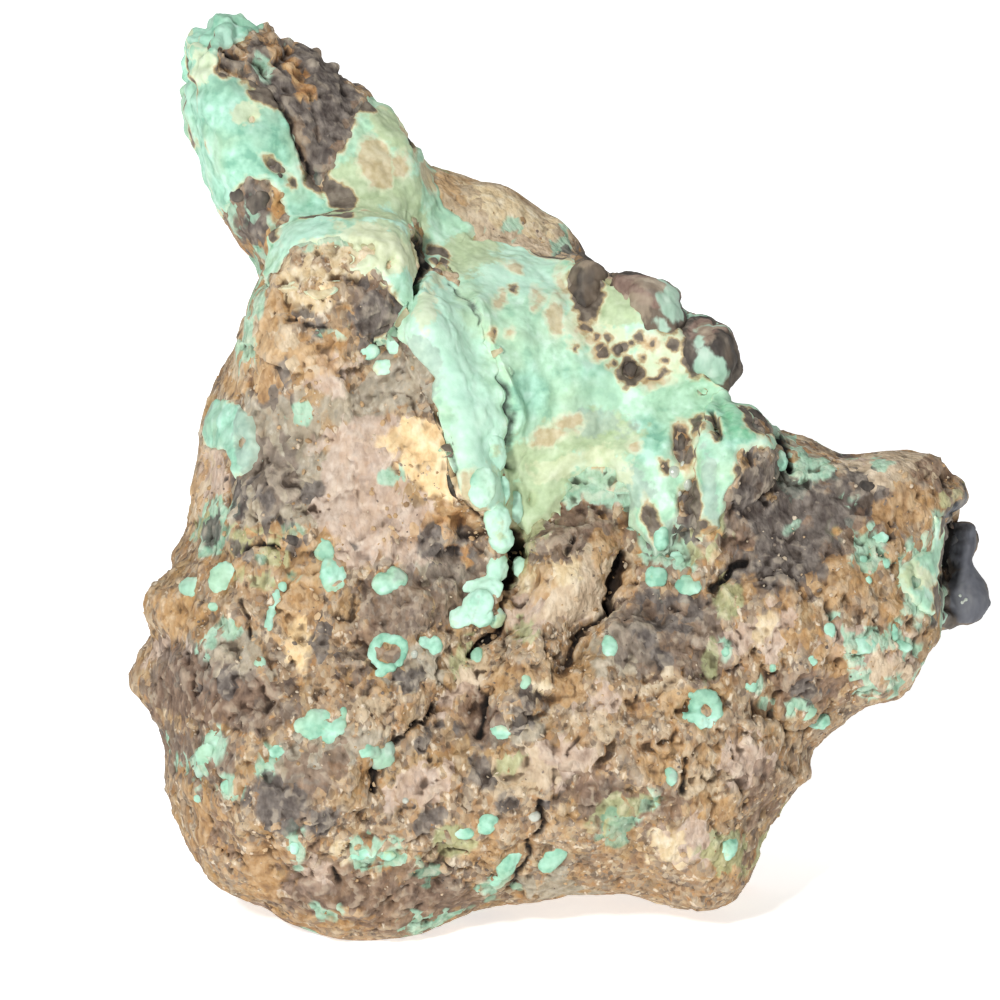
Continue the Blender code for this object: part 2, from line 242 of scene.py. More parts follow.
def shared_relief(places, normals, covered):
    """What the rock and the crusts do together: banks, the horn's jagged crest, and room for the crusts."""
    lift = smoothstep(CREST_FOOT, CREST_TOP, places[:, 1]) * (0.9 * ripple(places, 2.4, 46) - 0.6)
    for height, reach, line in BANKS.values():
        away = line_distance(places[:, 0], places[:, 1], line)
        lift += height * np.exp(-((away / reach) ** 2)) * (places[:, 2] > BANKS_BACK)
    for swell_across, swell_up, reach, height in SWELLS:
        away = np.hypot(places[:, 0] - swell_across, places[:, 1] - swell_up)
        lift += height * np.exp(-((away / reach) ** 2))
    return lift - SIDE_SLACK * (1.0 - np.clip(normals[:, 2], 0.0, 1.0)) * covered


def set_field(mesh, name, values):
    field = mesh.attributes.new(name, "FLOAT", "POINT")
    field.data.foreach_set("value", values.astype(np.float32))


def eased(mesh, values, passes):
    """Each vertex's value, swapped for the mean of its neighbours' values as many times as passes says."""
    ends = np.empty(len(mesh.edges) * 2, np.int32)
    mesh.edges.foreach_get("vertices", ends)
    ends = ends.reshape(-1, 2)
    count = np.maximum(np.bincount(ends.ravel(), minlength=len(values)), 1)
    for _ in range(passes):
        total = np.bincount(ends[:, 0], values[ends[:, 1]], len(values))
        total += np.bincount(ends[:, 1], values[ends[:, 0]], len(values))
        values = total / count
    return values


def hollows(mesh, passes):
    """How far each vertex lies below the mean of its surroundings, in millimetres."""
    places = read(mesh)
    around = np.stack([eased(mesh, places[:, axis], passes) for axis in range(3)], axis=1)
    return ((around - places) * read(mesh, "normal")).sum(axis=1)


# Where the malachite crusts, the rim's nodules and the arm's knob lie: each one's outline, and the bare
# ovals in it. The rock is calmer under them.
CRUSTS = {
    "horn": (
        [
            (15.0, 97.0), (18.0, 99.5), (22.2, 101.0), (26.6, 99.6), (27.0, 98.0), (24.8, 97.0),
            (23.0, 95.6), (21.4, 94.4), (22.2, 92.6), (24.0, 92.2), (26.2, 91.7), (27.4, 90.6),
            (28.6, 88.0), (29.6, 85.6), (30.3, 83.0), (32.0, 80.6), (33.2, 78.6), (31.6, 77.6),
            (29.4, 77.8), (28.2, 80.0), (26.8, 82.0), (24.6, 82.4), (23.6, 81.0), (22.7, 78.8),
            (21.8, 77.2), (19.0, 79.4), (16.0, 88.0),
        ],
        [(22.8, 93.4, 1.3, 1.0, 20), (27.4, 83.4, 1.0, 0.5, -40), (25.4, 88.0, 0.5, 0.4, 0)],
    ),
    "blade": (
        [
            (34.8, 86.4), (36.4, 90.4), (39.4, 90.6), (41.8, 87.4), (43.4, 83.0), (44.6, 79.4),
            (47.0, 77.4), (46.4, 75.2), (43.0, 75.6), (41.2, 78.0), (38.0, 78.6), (35.0, 78.4),
            (32.8, 79.4), (31.8, 81.6), (33.8, 83.8),
        ],
        [],
    ),
    "collar": (
        [
            (25.6, 73.4), (26.8, 76.2), (30.0, 78.9), (32.4, 80.0), (35.4, 80.0), (38.6, 80.4),
            (40.8, 79.0), (41.6, 75.8), (42.0, 73.8), (41.4, 71.4), (40.4, 69.8), (40.8, 68.2),
            (40.2, 66.4), (38.8, 65.0), (37.8, 64.8), (37.4, 66.0), (38.8, 67.6), (39.2, 69.4),
            (38.6, 71.0), (37.0, 71.6), (35.0, 71.4), (33.4, 70.4), (31.4, 70.2), (29.4, 71.4),
            (27.6, 70.8), (26.2, 71.4),
        ],
        [
            (32.2, 73.2, 4.8, 2.6, 12), (28.4, 72.0, 1.8, 1.2, 0), (35.6, 72.0, 3.0, 1.6, 0),
            (36.8, 75.0, 1.0, 0.8, 0), (39.0, 73.4, 0.6, 0.8, 0),
        ],
    ),
    "curtain": (
        [
            (41.8, 72.6), (43.6, 73.0), (45.4, 71.6), (46.8, 69.6), (47.6, 67.0), (48.8, 63.6),
            (49.6, 60.0), (50.1, 56.4), (50.6, 53.6), (50.3, 51.4), (50.8, 49.4), (51.4, 46.8),
            (51.5, 45.2), (50.2, 44.8), (49.4, 47.0), (48.9, 49.2), (47.8, 49.6), (46.8, 51.8),
            (46.0, 54.2), (45.0, 56.4), (44.6, 58.4), (44.6, 61.0), (43.7, 63.6), (42.6, 65.2),
            (41.4, 67.0), (41.1, 70.0),
        ],
        [],
    ),
    "basin": (
        [
            (43.0, 78.6), (45.0, 77.4), (47.2, 76.0), (50.2, 75.8), (54.0, 74.8), (57.0, 74.6),
            (58.6, 73.2), (59.6, 72.6), (62.4, 71.0), (64.6, 68.8), (66.8, 67.8), (69.4, 66.8),
            (71.8, 64.0), (72.6, 60.8), (71.0, 59.0), (69.8, 57.4), (69.2, 53.2), (67.4, 50.2),
            (67.0, 46.4), (65.6, 44.8), (64.2, 46.8), (63.0, 50.6), (61.6, 53.0), (59.0, 53.4),
            (57.0, 52.2), (55.6, 50.0), (54.2, 48.2), (52.6, 46.6), (50.4, 49.0), (50.2, 53.6),
            (49.2, 59.6), (48.0, 64.4), (46.6, 68.4), (45.4, 71.0), (43.4, 72.8), (42.0, 75.4),
        ],
        [
            (58.6, 71.4, 1.3, 2.0, 5), (63.2, 62.8, 1.0, 1.2, 0), (68.0, 55.2, 0.9, 2.0, 8),
            (68.8, 49.8, 0.8, 1.8, -6), (66.4, 53.2, 0.4, 0.5, 0), (65.0, 48.0, 0.5, 1.0, 15),
            (53.2, 50.4, 0.5, 0.7, 0), (44.9, 72.6, 1.3, 0.8, -45),
        ],
    ),
    "spur": (
        [
            (71.2, 60.4), (73.4, 61.0), (75.8, 60.0), (77.6, 57.8), (78.4, 55.8), (77.2, 54.8),
            (75.2, 55.8), (73.8, 55.0), (73.4, 52.6), (72.2, 50.6), (71.6, 47.4), (70.2, 46.8),
            (69.4, 49.6), (69.6, 53.2), (70.4, 57.0),
        ],
        [(76.0, 57.4, 1.2, 0.9, -35), (71.4, 57.2, 0.5, 0.8, 0)],
    ),
    "tip": (
        [
            (93.2, 48.2), (95.8, 48.0), (95.6, 45.4), (94.9, 43.6), (94.6, 41.8), (94.0, 39.6),
            (93.0, 38.6), (91.6, 39.2), (90.7, 41.0), (90.4, 43.2), (91.4, 44.4), (92.8, 44.8),
            (93.3, 46.4),
        ],
        [(91.8, 41.6, 0.4, 0.5, 0)],
    ),
    "rim_first": (
        [
            (57.2, 72.2), (57.8, 74.6), (59.4, 74.8), (61.0, 73.0), (59.6, 71.9), (59.4, 70.2), (58.4, 69.0),
            (57.2, 70.2),
        ],
        [],
    ),
    "rim_second": (
        [
            (61.2, 72.0), (61.4, 74.0), (63.6, 74.6), (65.4, 74.0), (67.4, 72.8), (69.4, 71.8),
            (69.6, 69.4), (68.4, 67.6), (67.4, 66.8), (66.0, 66.4), (64.9, 66.8), (64.4, 67.8),
            (63.0, 69.2), (62.0, 70.4),
        ],
        [],
    ),
    "rim_third": (
        [
            (68.8, 68.8), (70.6, 69.4), (73.0, 68.4), (75.0, 66.6), (76.0, 64.0), (76.0, 61.8),
            (74.2, 61.2), (72.2, 61.2), (71.2, 61.9), (70.0, 62.6), (68.4, 63.6), (68.0, 65.0),
            (68.4, 66.8),
        ],
        [],
    ),
    "knob": (
        [
            (95.3, 48.6), (96.4, 49.2), (99.0, 49.0), (100.0, 44.6), (99.8, 43.4), (101.0, 38.0),
            (98.0, 36.6), (94.3, 37.2), (94.4, 39.2), (95.1, 41.0), (95.9, 42.6), (96.2, 44.4),
            (96.0, 46.6),
        ],
        [],
    ),
    "flank": (
        [
            (17.0, 59.4), (20.4, 60.2), (23.2, 59.8), (25.0, 58.6), (25.4, 55.8), (25.2, 53.4),
            (23.6, 52.6), (22.6, 54.6), (20.4, 55.4), (17.0, 56.0),
        ],
        [(24.2, 55.6, 0.5, 0.7, 0)],
    ),
}
# How far back the face's minerals reach. The flank's crust is only a small tongue round the stone's edge.
FACE_BACK = -16.0
CRUST_BACKS = {"flank": 0.0}


def crust_depth(name, places):
    outline, bare = CRUSTS[name]
    depth = outline_depth(places, outline, bare, seed=60 + len(name))
    back = CRUST_BACKS.get(name, FACE_BACK) - 3.0 * np.abs(ripple(places, 6.0, 47))
    return np.minimum(depth, 0.8 * (places[:, 2] - back))


def cover_depth(places):
    """How far inside the nearest crust's rim each place is."""
    depth = np.full(len(places), OUTSIDE)
    for name in CRUSTS:
        depth = np.maximum(depth, crust_depth(name, places))
    return depth


# Cracks: half the width, the depth, and the line across and up the face.
CRACKS = {
    "behind_collar": (
        0.26,
        1.8,
        [(41.6, 76.2), (42.5, 74.4), (42.7, 73.0), (41.6, 71.6), (40.4, 69.6), (40.1, 68.4), (40.4, 66.8)],
    ),
    "collar_widest": (0.60, 1.8, [(42.1, 75.6), (42.6, 74.6), (42.9, 73.6)]),
    "collar_low": (0.30, 2.0, [(41.7, 71.4), (40.9, 69.7), (40.6, 68.3), (40.4, 66.6), (39.8, 65.4)]),
    "collar_nick": (0.14, 0.4, [(30.8, 67.4), (31.7, 67.1), (32.6, 67.3)]),
    "curtain_top": (0.10, 0.3, [(45.2, 71.6), (46.4, 69.6), (47.4, 67.3)]),
    "curtain_mid": (0.18, 0.7, [(49.2, 62.2), (50.4, 58.0), (51.0, 55.0), (50.9, 53.2)]),
    "curtain_left": (0.10, 0.4, [(44.6, 58.4), (45.5, 55.6), (46.3, 52.6), (47.5, 49.6), (48.3, 48.2)]),
    "curtain_gap_high": (0.36, 2.0, [(51.7, 46.6), (52.1, 45.4), (51.8, 44.4)]),
    "curtain_gap_mid": (0.30, 1.8, [(51.2, 43.6), (50.9, 42.4), (50.8, 41.6)]),
    "curtain_gap_low": (0.16, 1.2, [(50.5, 40.2), (50.4, 38.4), (49.2, 36.6), (46.8, 34.8)]),
    "beside_boss": (0.22, 1.5, [(62.4, 44.6), (61.4, 42.2), (60.8, 39.6)]),
    "boss_foot": (0.13, 0.9, [(60.8, 39.6), (59.2, 37.7), (57.8, 36.3), (56.8, 34.2)]),
    "boss_end": (0.22, 0.7, [(60.9, 39.4), (60.4, 38.4)]),
    "under_shoulder": (0.15, 0.9, [(43.4, 29.4), (42.2, 28.0), (40.7, 27.0), (39.4, 25.6)]),
    "below_button": (0.18, 0.9, [(38.2, 23.6), (37.7, 22.4), (37.4, 21.0)]),
    "arm_root": (0.30, 1.6, [(77.9, 56.4), (78.5, 54.6), (78.9, 53.0)]),
    "arm_overhang": (0.20, 1.1, [(74.4, 43.6), (73.0, 42.9), (72.0, 42.0), (71.1, 41.1)]),
    "beside_arm": (0.20, 0.9, [(71.2, 58.8), (71.6, 57.2), (72.0, 56.0)]),
    "slope_slit": (0.16, 0.8, [(68.4, 24.2), (68.3, 22.4), (68.3, 20.8)]),
    "slope_short": (0.15, 0.7, [(57.4, 46.2), (56.6, 44.8)]),
    "leaf_shadow": (0.20, 0.8, [(53.0, 15.6), (52.6, 13.8), (51.6, 12.2), (50.6, 11.2)]),
    "slope_low": (0.16, 0.8, [(53.8, 20.0), (54.4, 17.8), (53.6, 16.6)]),
    "slope_left": (0.12, 0.6, [(47.6, 33.0), (48.4, 30.0), (47.8, 26.6)]),
    "slope_mid": (0.10, 0.5, [(58.0, 26.4), (56.6, 24.8)]),
    "below_pink": (0.22, 0.7, [(33.4, 12.8), (33.8, 11.8)]),
    "left_pocket": (0.16, 0.6, [(24.4, 45.0), (26.2, 45.6), (28.0, 45.2)]),
    "left_slit": (0.12, 0.6, [(24.0, 40.0), (25.0, 38.2), (25.2, 36.4)]),
    "knob_gap": (0.66, 2.8, [(96.2, 48.2), (96.0, 46.6), (95.6, 44.6), (95.0, 42.2)]),
    "knob_foot": (0.22, 1.2, [(94.5, 42.0), (94.6, 40.4), (95.0, 38.8)]),
    "knob_lobe": (0.08, 0.4, [(94.8, 52.2), (94.9, 50.8), (95.2, 49.4)]),
    "horn_slit": (0.30, 0.9, [(40.1, 88.0), (40.7, 86.8), (41.2, 85.6)]),
    "blade_edge": (0.18, 0.6, [(27.5, 90.0), (29.0, 87.6), (30.0, 84.8), (30.8, 82.2)]),
    "horn_back": (0.10, 0.35, [(31.0, 90.6), (31.6, 88.0), (32.0, 85.4)]),
}
CRACK_WAVER = 0.34


def cut_cracks(places, lift, facing, wall):
    """Sinks the cracks into the lift, with walls that slope, and says how far inside one each place is."""
    across, up = wavered(places, CRACK_WAVER, 19)
    inside = np.full(len(places), OUTSIDE)
    for half_width, deep, line in CRACKS.values():
        away = line_distance(across, up, line)
        lift -= deep * np.exp(-((away / (half_width + wall)) ** 2)) * facing
        inside = np.maximum(inside, half_width - away)
    return inside


# Banks that lie along a crust, or troughs where the height is negative: the height, the reach and the line.
BANKS = {
    "curtain_ridge": (-1.1, 1.8, [(43.4, 70.4), (45.4, 66.0), (46.8, 60.4), (48.2, 54.6)]),
    "right_of_curtain": (1.4, 1.5, [(47.4, 68.6), (49.6, 63.0), (50.9, 57.6)]),
    "left_of_curtain": (
        2.3,
        2.6,
        [(40.0, 69.0), (41.2, 66.0), (42.4, 62.4), (43.4, 59.0), (44.8, 55.0), (45.8, 51.6)],
    ),
    "basin_lobe": (-0.32, 0.7, [(54.0, 64.0), (55.4, 61.0), (55.2, 58.0), (53.4, 56.6), (51.4, 57.0)]),
    "basin_fold": (-0.35, 0.8, [(49.6, 66.0), (52.4, 64.8), (55.0, 66.6), (56.6, 69.0)]),
    "yellow_fold": (-0.3, 0.5, [(59.0, 70.8), (60.6, 68.6), (63.2, 67.8)]),
    "aqua_strip": (0.5, 0.8, [(57.2, 63.4), (59.6, 62.9), (61.6, 62.2)]),
    "ring_wall": (
        0.5,
        0.7,
        [(62.0, 61.6), (63.8, 60.8), (66.2, 61.0), (68.0, 62.4), (68.6, 64.6), (67.6, 66.4)],
    ),
    "basin_dip": (-0.3, 1.2, [(56.0, 60.0), (59.6, 59.8), (63.0, 59.0), (66.6, 59.6)]),
    "mint_arch": (
        0.7,
        1.0,
        [(54.8, 51.6), (56.4, 54.0), (59.2, 55.2), (62.0, 54.2), (64.2, 51.4), (65.2, 48.0)],
    ),
    "lens_left": (0.45, 0.6, [(66.8, 56.6), (66.0, 53.8), (66.8, 50.6), (68.0, 47.8)]),
    "lens_right": (0.55, 0.8, [(70.2, 57.0), (70.9, 54.0), (70.8, 50.6), (69.8, 47.4)]),
    "spur_fold": (-0.4, 0.5, [(71.8, 60.0), (72.8, 57.4), (73.4, 55.0)]),
}

# Round swellings of rock and crust, or dents where the height is negative: across, up, reach, height.
SWELLS = [
    (97.2, 46.4, 2.0, 0.5), (98.4, 43.4, 1.1, -0.7), (98.0, 40.4, 2.2, 0.5), (95.9, 50.5, 1.1, 0.9),
    (95.0, 52.4, 1.2, -0.8), (96.8, 48.4, 0.8, -0.6), (65.6, 71.8, 2.4, -0.4), (74.4, 65.6, 2.0, -0.5),
    (69.0, 69.6, 1.0, -0.9), (75.2, 66.6, 1.2, -0.6), (74.0, 60.6, 1.1, -1.2), (24.6, 72.8, 3.0, -0.9),
    (23.6, 68.0, 2.0, -0.5), (21.8, 9.6, 1.4, -0.3), (15.6, 43.0, 1.3, -0.8), (81.2, 24.6, 1.8, -0.6),
    (77.0, 17.0, 3.0, -0.5), (18.2, 93.8, 1.6, -0.4), (19.6, 98.4, 1.2, -0.6), (41.0, 86.4, 1.8, 0.6),
    (31.6, 95.0, 1.2, 0.9), (57.0, 77.8, 2.0, 0.8), (51.0, 81.4, 3.6, 0.6), (37.0, 91.2, 3.0, 0.6),
    (80.6, 56.0, 2.4, 0.6), (17.4, 44.8, 1.6, 0.6), (80.6, 22.6, 1.0, 0.9), (90.4, 31.0, 2.4, 0.5),
    (16.0, 24.0, 3.0, -0.4), (13.4, 31.4, 1.6, 0.5), (22.0, 79.4, 2.0, 0.4),
]

# Where fine clay covers the rock's grain, and it is smoother than elsewhere.
CLAY = [
    (38.0, 52.0, 7.0, 8.0, 0), (43.6, 54.0, 4.0, 4.0, 0), (50.6, 79.0, 8.0, 4.0, -25),
    (88.0, 52.8, 7.0, 2.6, 0), (96.0, 43.0, 5.0, 8.0, 0), (57.0, 41.0, 4.0, 4.0, 20),
    (66.0, 70.0, 7.0, 5.0, -30), (72.4, 65.0, 4.0, 4.0, 0), (30.0, 89.0, 5.0, 7.0, -30),
    (25.4, 79.0, 3.0, 4.0, 0), (64.0, 14.0, 13.0, 5.0, 0), (30.0, 58.0, 5.0, 6.0, 0),
    (20.6, 50.4, 2.0, 3.6, 0), (82.0, 48.0, 6.0, 3.0, 0),
]


def foot_height(places):
    """How high each place stands over the table, in millimetres."""
    lean = math.radians(FACE_LEAN)
    return (places[:, 1] - FOOT_UP) * math.cos(lean) + places[:, 2] * math.sin(lean)


# The skin is made anew in even squares, as small as the finest grain that shows.
SKIN_GRAIN = 0.36
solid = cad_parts["azurite_malachite_specimen"]
core = solid.data.copy()
merged = bmesh.new()
merged.from_mesh(core)
bmesh.ops.remove_doubles(merged, verts=merged.verts, dist=1e-7)
merged.to_mesh(core)
merged.free()
core.transform(lying)
core.materials.clear()
rock = shown("gossan_rock", core)
modify(rock, "REMESH", mode="VOXEL", voxel_size=SKIN_GRAIN)
modify(rock, "SMOOTH", factor=0.5, iterations=12)
core = bake(rock)
rock.data = core.copy()

places = read(core)
normals = read(core, "normal")
quads = np.empty(len(core.loops), np.int32)
core.loops.foreach_get("vertex_index", quads)
quads = quads.reshape(-1, 4)
covered = smoothstep(-0.2, 0.9, cover_depth(places))
rough = (1.0 - 0.75 * covered) * (1.0 - 0.55 * smoothstep(-1.0, 2.0, patch_depth(places, CLAY)))
rough *= 1.0 - 0.6 * np.exp(-((normals[:, 2] / 0.4) ** 2))
lift = rough * (soft_waves(places) + broken_relief(places) + 0.05 * ripple(places, 0.8, 17)) - 0.25 * covered
lift += shared_relief(places, normals, covered)
# The back broke off the vein in larger steps than the front.
behind = smoothstep(-0.6, -0.85, normals[:, 2])
bent = places + 1.4 * np.stack([ripple(places, 5.0, seed) for seed in (31, 32, 33)], axis=1)
steps, joint = facets(bent, 8.5, 34)
steps = 0.6 * steps + 0.5 * ripple(places, 14.0, 35) - 0.5 * np.exp(-((joint / 0.5) ** 2)) - 1.0
lift += behind * np.minimum(steps, 0.2)
crack_depth = cut_cracks(places, lift, np.clip(normals[:, 2], 0.0, 1.0), 0.16)
# The foot's broken edge stays where the solid has it, so that the stone stands as flat as the solid does.
lift *= smoothstep(0.1, 2.0, foot_height(places))
write(rock.data, places + normals * lift[:, None])

